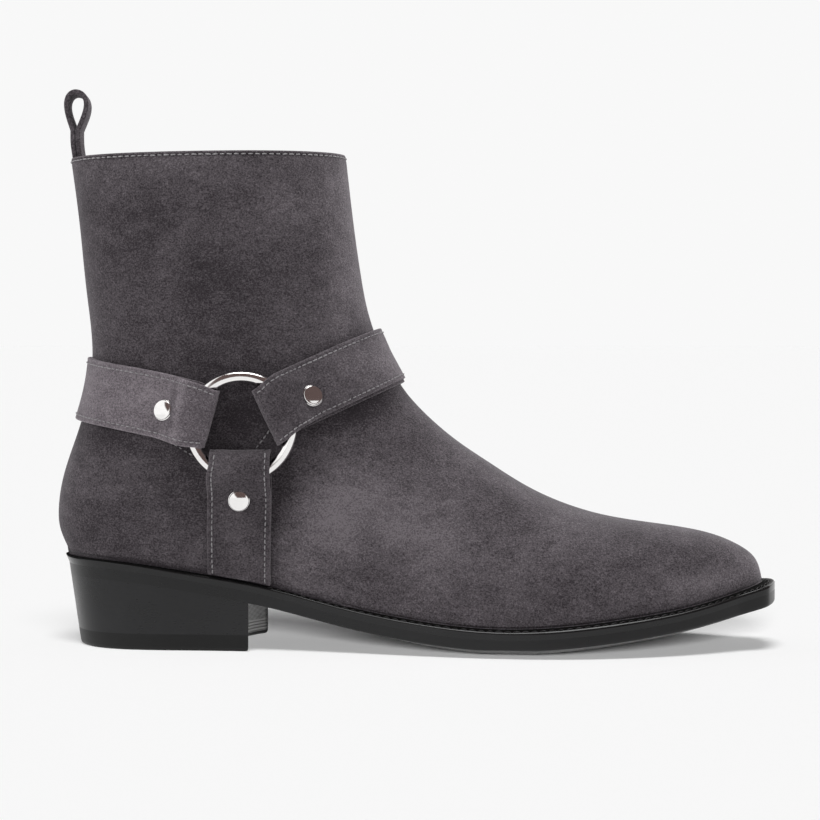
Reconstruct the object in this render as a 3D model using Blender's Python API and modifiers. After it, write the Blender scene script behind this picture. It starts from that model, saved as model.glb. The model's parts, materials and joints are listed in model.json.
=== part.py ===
"""Harness ankle boot for the right foot, built from the pieces that a bootmaker joins.

Metres, +Z up, +X to the toe, -Y to the outer (lateral) side of the foot.
The shapes are worked out in the last's frame: x from the back of the sole, y from the line
through heel and toe, z from the floor. One empty then carries every piece to the row frame,
whose origin is under the middle of the boot.
"""

import math
from collections import namedtuple

import bmesh
import bpy
import numpy as np
from mathutils import Matrix, Vector
from mathutils.bvhtree import BVHTree

# Driving sizes
SOLE_LENGTH = 0.300
BALL_WIDTH = 0.098
HEEL_HEIGHT = 0.038
SHAFT_HEIGHT = 0.2054
WALL = 0.002
GAP = 0.0003

# Sole and heel
WELT_THICK = 0.0033
WELT_RISE = 0.0018
HEEL_LENGTH = 0.0825
HEEL_LIP = 0.0010
HEEL_LIP_DEPTH = 0.0030
HEEL_BACK_DRAW = 0.0055
HEEL_SIDE_DRAW = 0.06
BREAST_HOLLOW = 0.0095
BREAST_STEPS = 6
TOP_PIECE_THICK = 0.0068
TOP_PIECE_ROUND = 0.0012
INSOLE_ABOVE_WELT = 0.0034
SOLE_STATIONS = 38
HEEL_STATIONS = 12
HEEL_LAYERS = (0.0, 0.5, 1.0)
BREAST_FLATNESS = 2.4
END_SHARE = 0.0004
WIDEST_ROW = 7

# How far the upper's lower edge and the insole stand in from the edge of the sole
Inset = namedtuple("Inset", "back toe side_heel side_ball")
SOLE_EDGE = Inset(0.0, 0.0, 0.0, 0.0)
FEATHER = Inset(0.0014, 0.0053, 0.05, 0.08)
WELT_INNER = Inset(0.0048, 0.0090, 0.16, 0.145)
INSOLE_EDGE = Inset(0.0053, 0.0095, 0.172, 0.155)

# Straps, rings and studs
LEATHER = 0.0013
STRAP_WIDTH = 0.025
STRAP_GAP = 0.0008
FOLD_BLUNTNESS = 1.04
RING_WIRE = 0.0046
RING_RADIUS = 0.0206
RING_CENTRE_X = 0.0817
RING_CENTRE_Z = 0.0924
WIRE_ROOM = 0.0005
FOLD_LENGTH = 0.0035
LOOP_END = 0.0127
PRESSED_FROM = 0.020
STUD_RADIUS = 0.0043
STUD_HEIGHT = 0.0021
STUD_RIM = 0.0006
STUD_SUNK = 0.0005
STUD_STEPS = 3
STUD_TURNS = 14
RING_SEGMENTS = 30
WIRE_SEGMENTS = 8
RING_PROBES = 24

# Pull loop
LOOP_STRIP = 0.0019
LOOP_WIDTH = 0.009
LOOP_EYE_HALF = 0.0033
LOOP_EYE_TOP = 0.2337
LOOP_EYE_FOOT = 0.2155
LOOP_STEM_FOOT = 0.192
LOOP_COLLAR_X = 0.0073
LOOP_STEM_LEAN = -0.119
LOOP_HEAD_X = 0.0046
LOOP_BEND = 0.007
LOOP_FULLNESS = 0.62
LOOP_STEPS = 20

# The sole from heel to toe. along: share of its length. lateral, medial: half widths, as a share
# of the ball's width. top: height of the welt's upper edge, as a share of the heel's height.
# edge: height of the sole's side. camber: how far its middle hangs below its edges.
SoleRow = namedtuple("SoleRow", "along lateral medial top edge camber")
SOLE_ROWS = (
    SoleRow(0.000, 0.000, 0.000, 0.993, 0.0080, 0.0000),
    SoleRow(0.030, 0.228, 0.228, 0.990, 0.0080, 0.0000),
    SoleRow(0.107, 0.327, 0.327, 0.950, 0.0080, 0.0000),
    SoleRow(0.200, 0.330, 0.321, 0.842, 0.0080, 0.0000),
    SoleRow(0.300, 0.340, 0.296, 0.703, 0.0082, 0.0001),
    SoleRow(0.400, 0.378, 0.281, 0.510, 0.0080, 0.0009),
    SoleRow(0.500, 0.442, 0.316, 0.367, 0.0079, 0.0021),
    SoleRow(0.617, 0.501, 0.413, 0.287, 0.0078, 0.0034),
    SoleRow(0.707, 0.511, 0.474, 0.315, 0.0078, 0.0033),
    SoleRow(0.800, 0.462, 0.454, 0.397, 0.0078, 0.0025),
    SoleRow(0.880, 0.365, 0.367, 0.495, 0.0078, 0.0018),
    SoleRow(0.947, 0.235, 0.237, 0.622, 0.0083, 0.0010),
    SoleRow(1.000, 0.000, 0.000, 0.736, 0.0088, 0.0003),
)
CAMBER_SHAPE = ((1.0, 1.0), (0.8, 0.3), (0.55, 0.0))

# The back seam of the upper. height: share of the shaft's height. x: in metres from the sole's back.
BackRow = namedtuple("BackRow", "height x")
BACK_ROWS = (
    BackRow(0.1940, 0.0011),
    BackRow(0.2360, -0.0024),
    BackRow(0.2780, -0.0030),
    BackRow(0.3450, -0.0008),
    BackRow(0.4280, 0.0049),
    BackRow(0.5120, 0.0099),
    BackRow(0.5860, 0.0118),
    BackRow(0.7280, 0.0090),
    BackRow(1.0000, 0.0022),
)

# Sections of the last, fanned from the toe to the collar. edge: where the section starts, 0 to 1
# along the sole's feather line from toe to heel, then 1 to 2 up the back seam. front_x, front_z:
# where it ends on the ridge of the vamp or the front of the shaft, as shares of the sole's length
# and the shaft's height. lateral, medial: half widths half way along, as a share of the ball's
# width. full: how much squarer than an ellipse the section is.
LastRow = namedtuple("LastRow", "edge front_x front_z lateral medial full")
LAST_ROWS = (
    LastRow(0.000, 0.9823, 0.1385, 0.000, 0.000, 0.00),
    LastRow(0.009, 0.9737, 0.1748, 0.081, 0.081, 0.00),
    LastRow(0.034, 0.9500, 0.2019, 0.159, 0.160, 0.00),
    LastRow(0.080, 0.9060, 0.2277, 0.249, 0.250, 0.00),
    LastRow(0.150, 0.8383, 0.2456, 0.341, 0.338, 0.00),
    LastRow(0.240, 0.7533, 0.2660, 0.408, 0.398, 0.00),
    LastRow(0.330, 0.6700, 0.3092, 0.434, 0.393, 0.00),
    LastRow(0.430, 0.6083, 0.3626, 0.418, 0.372, 0.00),
    LastRow(0.550, 0.5583, 0.4121, 0.393, 0.357, 0.00),
    LastRow(0.690, 0.5183, 0.4621, 0.372, 0.352, 0.05),
    LastRow(0.830, 0.4900, 0.5078, 0.362, 0.352, 0.18),
    LastRow(0.930, 0.4727, 0.5466, 0.359, 0.352, 0.38),
    LastRow(0.985, 0.4610, 0.5772, 0.359, 0.354, 0.62),
    LastRow(1.000, 0.4540, 0.5960, 0.361, 0.357, 0.75),
    LastRow(1.050, 0.4460, 0.6200, 0.363, 0.360, 0.72),
    LastRow(1.130, 0.4373, 0.6470, 0.365, 0.363, 0.60),
    LastRow(1.250, 0.4300, 0.6830, 0.369, 0.366, 0.46),
    LastRow(1.400, 0.4233, 0.7250, 0.375, 0.372, 0.36),
    LastRow(1.580, 0.4150, 0.7940, 0.385, 0.382, 0.30),
    LastRow(1.780, 0.4070, 0.8840, 0.394, 0.391, 0.27),
    LastRow(2.000, 0.3983, 1.0040, 0.398, 0.396, 0.25),
)
SECTIONS_PER_ROW = 2
ARCH_STEPS = 12

# Over which edges a section's points gather more towards its closed lower end
GATHER_FROM, GATHER_OVER = 0.3, 0.7

# Straps that leave each ring. angle: direction from the ring's centre, seen from the lateral side,
# counted up from the toe. fold, stud: distances from the ring's centre.
StrapRow = namedtuple("StrapRow", "name angle fold stud")
BACK_STRAP = StrapRow("back", 169.2, 0.0112, 0.0335)
FRONT_STRAP = StrapRow("front", 26.9, 0.0103, 0.0316)
LOWER_STRAP = StrapRow("lower", -91.0, 0.0105, 0.0302)
STRAP_LINES = (-1.0, -0.5, 0.0, 0.5, 1.0)
STRAP_STEP = 0.0045
BEND_CROWDING = 0.2
VOID_REACH = 1.16
WRAP_CENTRE = 0.030
WRAP_TURN = 135
WRAP_PROBES = 540
DROP_STEP = 0.0005

# Points closer than this are one, and rays reach this far past an edge
MERGE = 1e-6
RAY_SLACK = 1e-7

# A strap's folded end. on: distance from the fold. opened: share of the room for the ring's wire.
FoldRow = namedtuple("FoldRow", "on opened")
FOLD_ROWS = (
    FoldRow(0.0014, 0.30),
    FoldRow(0.0021, 0.80),
    FoldRow(0.0031, 1.00),
    FoldRow(0.0082, 1.00),
    FoldRow(0.0130, 1.00),
    FoldRow(0.0160, 0.55),
    FoldRow(0.0190, 0.12),
)
END_STEPS = (0.0, 0.0005, 0.0015, 0.0035, 0.0082, 0.0127, 0.0146, 0.0164, 0.0182, 0.0200, 0.0260)

LATERAL, MEDIAL = -1, 1
SIDE_NAMES = {LATERAL: "lateral", MEDIAL: "medial"}

Finish = namedtuple("Finish", "colour roughness metallic")
SUEDE = Finish((0.085, 0.075, 0.082), 0.95, 0.0)
SOLE_BLACK = Finish((0.022, 0.022, 0.023), 0.45, 0.0)
HEEL_BLACK = Finish((0.032, 0.032, 0.034), 0.40, 0.0)
RUBBER = Finish((0.020, 0.020, 0.020), 0.60, 0.0)
INSOLE_LEATHER = Finish((0.030, 0.028, 0.028), 0.60, 0.0)
NICKEL = Finish((0.780, 0.770, 0.760), 0.08, 1.0)


def natural_spline(knots, values):
    """The smoothest cubic curve through values at knots, as a function of one number."""
    x = np.asarray(knots, float)
    y = np.asarray(values, float)
    step = np.diff(x)
    count = len(x)
    system = np.eye(count)
    right = np.zeros(count)
    for i in range(1, count - 1):
        system[i, i - 1 : i + 2] = step[i - 1], 2 * (step[i - 1] + step[i]), step[i]
        right[i] = 6 * ((y[i + 1] - y[i]) / step[i] - (y[i] - y[i - 1]) / step[i - 1])
    bend = np.linalg.solve(system, right)

    def at(p):
        i = int(np.clip(np.searchsorted(x, p) - 1, 0, count - 2))
        after, before, h = x[i + 1] - p, p - x[i], step[i]
        cubic = (bend[i] * after**3 + bend[i + 1] * before**3) / (6 * h)
        start = (y[i] / h - bend[i] * h / 6) * after
        return cubic + start + (y[i + 1] / h - bend[i + 1] * h / 6) * before

    return at


def column_splines(rows, knot_of):
    """One spline for each column of a table, as a dict from column name to function."""
    knots = [knot_of(i, row) for i, row in enumerate(rows)]
    columns = {name: [getattr(row, name) for row in rows] for name in rows[0]._fields}
    return {name: natural_spline(knots, values) for name, values in columns.items()}


def squared_spline(rows, name):
    """A spline of a half width's square, which runs smoothly to nothing at a round end."""
    return natural_spline([row.along for row in rows], [getattr(row, name) ** 2 for row in rows])


SOLE = column_splines(SOLE_ROWS, lambda i, row: row.along)
OUTLINE = {LATERAL: squared_spline(SOLE_ROWS, "lateral"), MEDIAL: squared_spline(SOLE_ROWS, "medial")}
BACK_X = natural_spline([row.height for row in BACK_ROWS], [row.x for row in BACK_ROWS])
LAST = column_splines(LAST_ROWS, lambda i, row: i)


def smooth(value):
    """0 below 0, 1 above 1, and an even S between."""
    share = min(1.0, max(0.0, value))
    return share * share * (3 - 2 * share)


def sole_top(x):
    """Height of the welt's upper face at x."""
    return SOLE["top"](x / SOLE_LENGTH) * HEEL_HEIGHT


def camber(x):
    """How far the outsole's middle hangs below its edges at x."""
    return max(0.0, SOLE["camber"](x / SOLE_LENGTH))


def sole_bottom(x):
    """Height of the outsole's lower face at x. It lies flat on the floor under the ball."""
    return max(0.0, sole_top(x) - SOLE["edge"](x / SOLE_LENGTH) - camber(x))


def drawn_in(x, y, z):
    """A point at height z of the sole's or heel's side, which draws in towards the floor at the back."""
    depth = sole_top(x) - z
    back_share = max(0.0, 1 - x / HEEL_LENGTH)
    draw = HEEL_LIP * min(1.0, depth / HEEL_LIP_DEPTH) + HEEL_BACK_DRAW * depth / HEEL_HEIGHT
    return x + back_share * draw, y * (1 - back_share * HEEL_SIDE_DRAW * depth / HEEL_HEIGHT), z


def outline_point(along, side, inset):
    """A point (x, y) of the sole's outline, or of one that stands in from it."""
    half = math.sqrt(max(0.0, OUTLINE[side](along))) * BALL_WIDTH
    ease = smooth(along / SOLE_ROWS[WIDEST_ROW].along)
    half *= 1 - inset.side_heel - (inset.side_ball - inset.side_heel) * ease
    x = inset.back + along * (SOLE_LENGTH - inset.back - inset.toe)
    return x, side * half


def stations(count, first=END_SHARE, last=1 - END_SHARE):
    """Shares from first to last, closest together at both ends, where an outline turns round."""
    turn = [math.pi * i / count for i in range(count + 1)]
    return [first + (last - first) * (1 - math.cos(a)) / 2 for a in turn]


def feather_point(along, side):
    """Where the upper meets the welt."""
    x, y = outline_point(along, side, FEATHER)
    return x, y, sole_top(x) + WELT_RISE + GAP


def edge_point(edge):
    """Where a section of the last starts, as (x, z, lateral half width, medial half width)."""
    if edge < 1:
        along = 1 - edge
        x, y_lateral, z = feather_point(along, LATERAL)
        return x, z, -y_lateral, feather_point(along, MEDIAL)[1]
    z_heel = feather_point(0.0, LATERAL)[2]
    z = z_heel + (edge - 1) * (SHAFT_HEIGHT - z_heel)
    return BACK_X(z / SHAFT_HEIGHT), z, 0.0, 0.0


def half_width(share, edge_half, mid_half, full):
    """Half the width of a section, share of the way from its lower edge to its ridge."""
    edge_square = edge_half**2 / (1 + full)
    swell = 4 * mid_half**2 - 2 * edge_square
    square = (1 - share) * (edge_square + swell * share) * (1 + full * (1 - 2 * share) ** 2)
    return math.sqrt(max(0.0, square))


def last_section(row_at):
    """Points of one section of the upper's outer face, from the lateral edge over the ridge."""
    edge = min(2.0, max(0.0, LAST["edge"](row_at)))
    x, z, edge_lateral, edge_medial = edge_point(edge)
    front_x = LAST["front_x"](row_at) * SOLE_LENGTH
    front_z = LAST["front_z"](row_at) * SHAFT_HEIGHT
    full = LAST["full"](row_at)
    mid_lateral = LAST["lateral"](row_at) * BALL_WIDTH
    mid_medial = LAST["medial"](row_at) * BALL_WIDTH
    closing = 1 + smooth((edge - GATHER_FROM) / GATHER_OVER)
    points = []
    for i in range(-ARCH_STEPS, ARCH_STEPS + 1):
        share = math.sin(math.pi / 2 * (1 - abs(i) / ARCH_STEPS)) ** closing
        if i < 0:
            y = -half_width(share, edge_lateral, mid_lateral, full)
        else:
            y = half_width(share, edge_medial, mid_medial, full)
        points.append((x + share * (front_x - x), y, z + share * (front_z - z)))
    return points


def link(obj, finish_name):
    """Puts an object in the boot's collection under the root empty and gives it its finish."""
    BOOT.objects.link(obj)
    obj.parent = ROOT
    obj.data.materials.append(MATERIALS[finish_name])
    return obj


def mesh_object(name, points, faces, finish_name, smooth_angle=40, closed=True):
    """An object from points and faces, with doubles merged. The faces of a closed one are turned out."""
    shape = bmesh.new()
    corners = [shape.verts.new(p) for p in points]
    for face in faces:
        shape.faces.new([corners[i] for i in face])
    bmesh.ops.remove_doubles(shape, verts=shape.verts, dist=MERGE)
    if closed:
        bmesh.ops.recalc_face_normals(shape, faces=shape.faces)
    mesh = bpy.data.meshes.new(name)
    shape.to_mesh(mesh)
    shape.free()
    mesh.shade_smooth()
    mesh.set_sharp_from_angle(angle=math.radians(smooth_angle))
    return link(bpy.data.objects.new(name, mesh), finish_name)


def band_faces(rows, columns, close_rows=False, close_columns=False):
    """Quads of a grid of points stored row after row."""
    faces = []
    for i in range(rows if close_rows else rows - 1):
        for j in range(columns if close_columns else columns - 1):
            k, m = (i + 1) % rows, (j + 1) % columns
            faces.append((i * columns + j, i * columns + m, k * columns + m, k * columns + j))
    return faces


def loft(name, sections, finish_name, close=False):
    """A solid through sections of equal count: capped at both ends, or joined end to end."""
    count = len(sections[0])
    faces = band_faces(len(sections), count, close_rows=close, close_columns=True)
    if not close:
        last = (len(sections) - 1) * count
        faces += [tuple(range(count)), tuple(range(last, last + count))]
    return mesh_object(name, [p for section in sections for p in section], faces, finish_name)


def make_outsole():
    """The outsole from heel seat to toe, its lower face cambered across."""
    sections = []
    for along in stations(SOLE_STATIONS):
        (x, left), (_, right) = (outline_point(along, side, SOLE_EDGE) for side in (LATERAL, MEDIAL))
        top, bottom, hang = sole_top(x) - WELT_THICK, sole_bottom(x), camber(x)
        lower = [(out, bottom + hang * lift) for out, lift in CAMBER_SHAPE]
        section = [drawn_in(x, left, top)]
        section += [drawn_in(x, left * out, z) for out, z in lower]
        section += [drawn_in(x, right * out, z) for out, z in reversed(lower)]
        section.append(drawn_in(x, right, top))
        sections.append(section)
    return loft("outsole", sections, "sole")


def closed_outline(inset, count=SOLE_STATIONS):
    """Points (x, y) right round an outline: the lateral side to the toe, the medial side back."""
    shares = stations(count)
    there = [outline_point(s, LATERAL, inset) for s in shares]
    return there + [outline_point(s, MEDIAL, inset) for s in reversed(shares)]


def make_welt():
    """The strip round the sole that the upper stands on, its upper face rising to the upper."""
    sections = []
    for (x_out, y_out), (x_in, y_in) in zip(closed_outline(SOLE_EDGE), closed_outline(WELT_INNER)):
        low_out, low_in = (sole_top(x) - WELT_THICK + GAP for x in (x_out, x_in))
        sections.append(
            (
                (x_out, y_out, sole_top(x_out)),
                drawn_in(x_out, y_out, low_out),
                (x_in, y_in, low_in),
                (x_in, y_in, sole_top(x_in) + WELT_RISE),
            )
        )
    return loft("welt", sections, "sole", close=True)


def make_insole():
    """The insole with the filler under it, inside the welt and on the outsole."""
    sections = []
    for along in stations(SOLE_STATIONS):
        (x, left), (_, right) = (outline_point(along, side, INSOLE_EDGE) for side in (LATERAL, MEDIAL))
        top = sole_top(x)
        high, low = top + INSOLE_ABOVE_WELT, top - WELT_THICK + GAP
        sections.append(((x, left, high), (x, left, low), (x, right, low), (x, right, high)))
    return loft("insole", sections, "insole")


def heel_outline(count=HEEL_STATIONS):
    """The heel's outline under the sole, as (x, y): round its back, then along its hollow breast."""
    last = HEEL_LENGTH / SOLE_LENGTH
    shares = [last * (1 - math.cos(math.pi / 2 * i / count)) + END_SHARE for i in range(count + 1)]
    points = [outline_point(along, LATERAL, SOLE_EDGE) for along in reversed(shares)]
    points += [outline_point(along, MEDIAL, SOLE_EDGE) for along in shares]
    (x, right), (_, left) = points[-1], points[0]
    for i in range(1, BREAST_STEPS):
        share = i / BREAST_STEPS
        hollow = BREAST_HOLLOW * (1 - abs(2 * share - 1) ** BREAST_FLATNESS)
        points.append((x - hollow, right + (left - right) * share))
    return points


def make_heel_stack():
    """The heel block under the outsole, drawn in towards the floor, its breast upright and hollow."""
    layers = []
    for share in HEEL_LAYERS:
        layer = []
        for x, y in heel_outline():
            high, low = sole_bottom(x) - GAP, TOP_PIECE_THICK + GAP
            layer.append(drawn_in(x, y, high + share * (low - high)))
        layers.append(layer)
    return loft("heel_stack", layers, "heel")


def make_top_piece():
    """The rubber that the heel stands on, its lower edge rounded."""
    middle = HEEL_LENGTH / 2
    layers = []
    for z, trim in ((TOP_PIECE_THICK, 0.0), (TOP_PIECE_ROUND, 0.0), (0.0, TOP_PIECE_ROUND)):
        shrink = 1 - trim / middle
        corners = [drawn_in(x, y, z) for x, y in heel_outline()]
        layers.append([(middle + (x - middle) * shrink, y * shrink, z) for x, y, _ in corners])
    return loft("heel_top_piece", layers, "rubber")


def upper_grid():
    """Points of the upper's outer face, section after section, and how many sections there are."""
    count = (len(LAST_ROWS) - 1) * SECTIONS_PER_ROW + 1
    sections = [last_section(i / SECTIONS_PER_ROW) for i in range(count)]
    return [p for section in sections for p in section], count


def make_upper():
    """Foot and shaft as one hollow wall, open at the collar and under the foot."""
    points, count = upper_grid()
    faces = band_faces(count, 2 * ARCH_STEPS + 1)
    upper = mesh_object("upper", points, faces, "suede", 60, closed=False)
    wall = upper.modifiers.new("wall", "SOLIDIFY")
    wall.thickness = WALL
    wall.offset = -1
    wall.use_even_offset = True
    return upper


def surface_tree():
    """The upper's outer face as a tree for casting rays."""
    points, count = upper_grid()
    return BVHTree.FromPolygons(points, band_faces(count, 2 * ARCH_STEPS + 1), epsilon=RAY_SLACK)


def side_hit(x, z, side):
    """The point and outward normal of the upper's face, seen from one side at x, z."""
    start = Vector((x, side * BALL_WIDTH, z))
    point, normal, _, _ = SKIN.ray_cast(start, Vector((0, -side, 0)))
    return point, normal if normal.y * side > 0 else -normal


def radial(angle):
    """Directions along and across a strap in the side view, for its angle in degrees."""
    turn = math.radians(angle)
    return Vector((math.cos(turn), 0, math.sin(turn))), Vector((-math.sin(turn), 0, math.cos(turn)))


def ring_frame(side):
    """Centre and outward normal of a ring that clears the upper and one strap layer all round."""
    middle, _ = side_hit(RING_CENTRE_X, RING_CENTRE_Z, side)
    hits = []
    for i in range(RING_PROBES):
        out, _ = radial(360 * i / RING_PROBES)
        x, z = RING_CENTRE_X + out.x * RING_RADIUS, RING_CENTRE_Z + out.z * RING_RADIUS
        hits.append(side_hit(x, z, side))
    normal = sum((n for _, n in hits), Vector()).normalized()
    highest = max(normal.dot(p - middle) for p, _ in hits)
    lift = max(highest, 0.0) + STRAP_GAP + LEATHER + WIRE_ROOM + RING_WIRE / 2
    return middle + normal * lift, normal


def wrap_line(row, shift):
    """The upper's cut along a strap from the lateral ring round to the medial one, as points."""
    along, across = radial(row.angle)
    ring = Vector((RING_CENTRE_X, 0, RING_CENTRE_Z)) + across * shift
    centre = ring + along * WRAP_CENTRE
    points = []
    for degrees in np.linspace(-WRAP_TURN, WRAP_TURN, WRAP_PROBES + 1):
        turn = math.radians(degrees)
        point, _, _, _ = SKIN.ray_cast(centre, along * math.cos(turn) + Vector((0, math.sin(turn), 0)))
        if point:
            points.append(point)
    out = [along.dot(p - ring) for p in points]
    first = next(i for i, distance in enumerate(out) if distance > row.fold)
    last = len(out) - next(i for i, distance in enumerate(reversed(out)) if distance > row.fold)
    return points[first:last]


def drop_line(row, shift, side):
    """The upper's cut along a lower strap, from the fold at the ring to the welt."""
    along, across = radial(row.angle)
    ring = Vector((RING_CENTRE_X, 0, RING_CENTRE_Z)) + across * shift
    points = []
    distance = row.fold
    while True:
        at = ring + along * distance
        if at.z < sole_top(at.x) + WELT_RISE + STRAP_GAP:
            return points
        points.append(side_hit(at.x, at.z, side)[0])
        distance += DROP_STEP


Station = namedtuple("Station", "share offset fold side")


def end_station(fold, side, far_end):
    """A place at a distance from a strap's folded end."""
    return Station(1.0, -fold, fold, side) if far_end else Station(0.0, fold, fold, side)


def wrap_stations(length):
    """Places along a strap that is folded at both rings."""
    near = [end_station(d, LATERAL, False) for d in END_STEPS]
    far = [end_station(d, MEDIAL, True) for d in reversed(END_STEPS)]
    plain = END_STEPS[-1]
    steps = round((length - 2 * plain) / STRAP_STEP)
    turns = [2 * math.pi * i / steps for i in range(1, steps)]
    shares = [(turn + BEND_CROWDING * math.sin(turn)) / (2 * math.pi) for turn in turns]
    between = [Station(s, plain * (1 - 2 * s), plain, LATERAL if s < 0.5 else MEDIAL) for s in shares]
    return near + between + far


def drop_stations(length, side):
    """Places along a strap that runs from one ring down to the welt."""
    near = [end_station(d, side, False) for d in END_STEPS]
    plain = END_STEPS[-1]
    steps = round((length - plain) / STRAP_STEP)
    shares = [i / steps for i in range(1, steps + 1)]
    return near + [Station(s, plain * (1 - s), plain, side) for s in shares]


def spaced(line, places):
    """Points of a line of points at the places given."""
    points = np.array(line)
    run = np.concatenate(([0.0], np.cumsum(np.linalg.norm(np.diff(points, axis=0), axis=1))))
    at = [place.share * run[-1] + place.offset for place in places]
    return np.stack([np.interp(at, run, points[:, axis]) for axis in range(3)], axis=1)


def line_length(line):
    """Length of a line of points."""
    return sum((b - a).length for a, b in zip(line, line[1:]))


def strap_bed(lines, places):
    """The upper's face under a strap: points and outward normals, line by line."""
    points = np.stack([spaced(line, places) for line in lines])
    normals = np.cross(np.gradient(points, axis=1), np.gradient(points, axis=0))
    normals /= np.linalg.norm(normals, axis=2, keepdims=True)
    outward = np.sign(np.sum(normals[:, :, 1] * points[:, :, 1]))
    return points, normals * outward


def strap_middle(point, normal, place):
    """Height of a strap's middle above the upper, and its half thickness."""
    centre, up = RINGS[place.side]
    height = up.dot(centre - Vector(point)) / up.dot(Vector(normal))
    pressed = smooth((place.fold - LOOP_END) / (PRESSED_FROM - LOOP_END))
    middle = height + pressed * (STRAP_GAP + LEATHER - height)
    loop_half = RING_WIRE / 2 + WIRE_ROOM + LEATHER
    half = loop_half + pressed * (LEATHER - loop_half)
    back = max(0.0, FOLD_LENGTH - place.fold) / (FOLD_LENGTH * FOLD_BLUNTNESS)
    return middle, half * math.sqrt(1 - back * back)


def strap_faces(lines, places):
    """Points of a strap's under side and of its face, line by line."""
    points, normals = strap_bed(lines, places)
    under, over = np.empty_like(points), np.empty_like(points)
    for line, stop in np.ndindex(points.shape[:2]):
        point, normal = points[line, stop], normals[line, stop]
        middle, half = strap_middle(point, normal, places[stop])
        under[line, stop] = point + normal * (middle - half)
        over[line, stop] = point + normal * (middle + half)
    for face in (under, over):
        rest = np.vectorize(sole_top)(face[:, :, 0]) + WELT_RISE + STRAP_GAP
        face[:, :, 2] = np.maximum(face[:, :, 2], rest)
    return under, over


def strap_solid(name, lines, places):
    """A doubled strap on the upper, its folded ends thick enough to hold the ring's wire."""
    under, over = strap_faces(lines, places)
    rounds = np.concatenate((under, over[::-1]))
    return loft(name, [[tuple(p) for p in rounds[:, stop]] for stop in range(len(places))], "suede")


def cut_away(solid, cutter, name):
    """Takes a cutter's shape out of a solid."""
    BOOT.objects.unlink(cutter)
    CUTTERS.objects.link(cutter)
    cutter.hide_render = True
    cutter.display_type = "WIRE"
    cut = solid.modifiers.new(name, "BOOLEAN")
    cut.operation = "DIFFERENCE"
    cut.solver = "EXACT"
    cut.object = cutter


def cut_fold(strap, lines, side, far_end):
    """Opens the folded end of a strap for the ring's wire."""
    places = [end_station(row.on, side, far_end) for row in FOLD_ROWS]
    points, normals = strap_bed(lines, places)
    sections = []
    for line_points, line_normals in zip(points, normals):
        under, over = [], []
        for point, normal, place, row in zip(line_points, line_normals, places, FOLD_ROWS):
            middle, _ = strap_middle(point, normal, place)
            room = row.opened * (RING_WIRE / 2 + WIRE_ROOM)
            under.append(tuple(point + normal * (middle - room)))
            over.append(tuple(point + normal * (middle + room)))
        sections.append(under + over[::-1])
    name = "fold_" + SIDE_NAMES[side]
    cut_away(strap, loft(strap.name + "_" + name, sections, "suede"), name)


def strap_shifts(reach):
    """Distances of a strap's lines from its middle, as a share of its half width."""
    return [line * reach * STRAP_WIDTH / 2 for line in STRAP_LINES]


def make_wrap_strap(row):
    """A strap from ring to ring round the back of the ankle or over the instep, with its studs."""
    lines = [wrap_line(row, shift) for shift in strap_shifts(1.0)]
    strap = strap_solid(row.name + "_strap", lines, wrap_stations(line_length(lines[2])))
    wide = [wrap_line(row, shift) for shift in strap_shifts(VOID_REACH)]
    for side, far_end in ((LATERAL, False), (MEDIAL, True)):
        cut_fold(strap, wide, side, far_end)
        make_stud(strap, row, lines, side, far_end)


def make_drop_strap(row, side):
    """A strap from one ring down to the welt, with its stud."""
    lines = [drop_line(row, shift, side) for shift in strap_shifts(1.0)]
    name = row.name + "_strap_" + SIDE_NAMES[side]
    strap = strap_solid(name, lines, drop_stations(line_length(lines[2]), side))
    wide = [drop_line(row, shift, side) for shift in strap_shifts(VOID_REACH)]
    cut_fold(strap, wide, side, False)
    make_stud(strap, row, lines, side, False)


def make_ring(side):
    """A round wire ring that the three straps of one side are folded over."""
    centre, normal = RINGS[side]
    bpy.ops.mesh.primitive_torus_add(
        major_radius=RING_RADIUS,
        minor_radius=RING_WIRE / 2,
        major_segments=RING_SEGMENTS,
        minor_segments=WIRE_SEGMENTS,
    )
    ring = take_over("ring_" + SIDE_NAMES[side], "nickel")
    ring.matrix_basis = Matrix.Translation(centre) @ normal.to_track_quat("Z", "Y").to_matrix().to_4x4()
    return ring


def take_over(name, finish_name):
    """Moves the object that an operator has just made into the boot."""
    obj = bpy.context.object
    for collection in list(obj.users_collection):
        collection.objects.unlink(obj)
    obj.name = name
    obj.data.name = name
    obj.data.shade_smooth()
    return link(obj, finish_name)


def turned_object(name, profile, finish_name):
    """A solid turned from its profile of (out, up), which runs from the top down the outer side."""
    mesh = bpy.data.meshes.new(name)
    edges = [(i, i + 1) for i in range(len(profile) - 1)]
    mesh.from_pydata([(out, 0.0, up) for out, up in profile], edges, [])
    solid = link(bpy.data.objects.new(name, mesh), finish_name)
    turned = solid.modifiers.new("turned", "SCREW")
    turned.steps = turned.render_steps = STUD_TURNS
    turned.use_merge_vertices = True
    turned.merge_threshold = MERGE
    return solid


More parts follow.
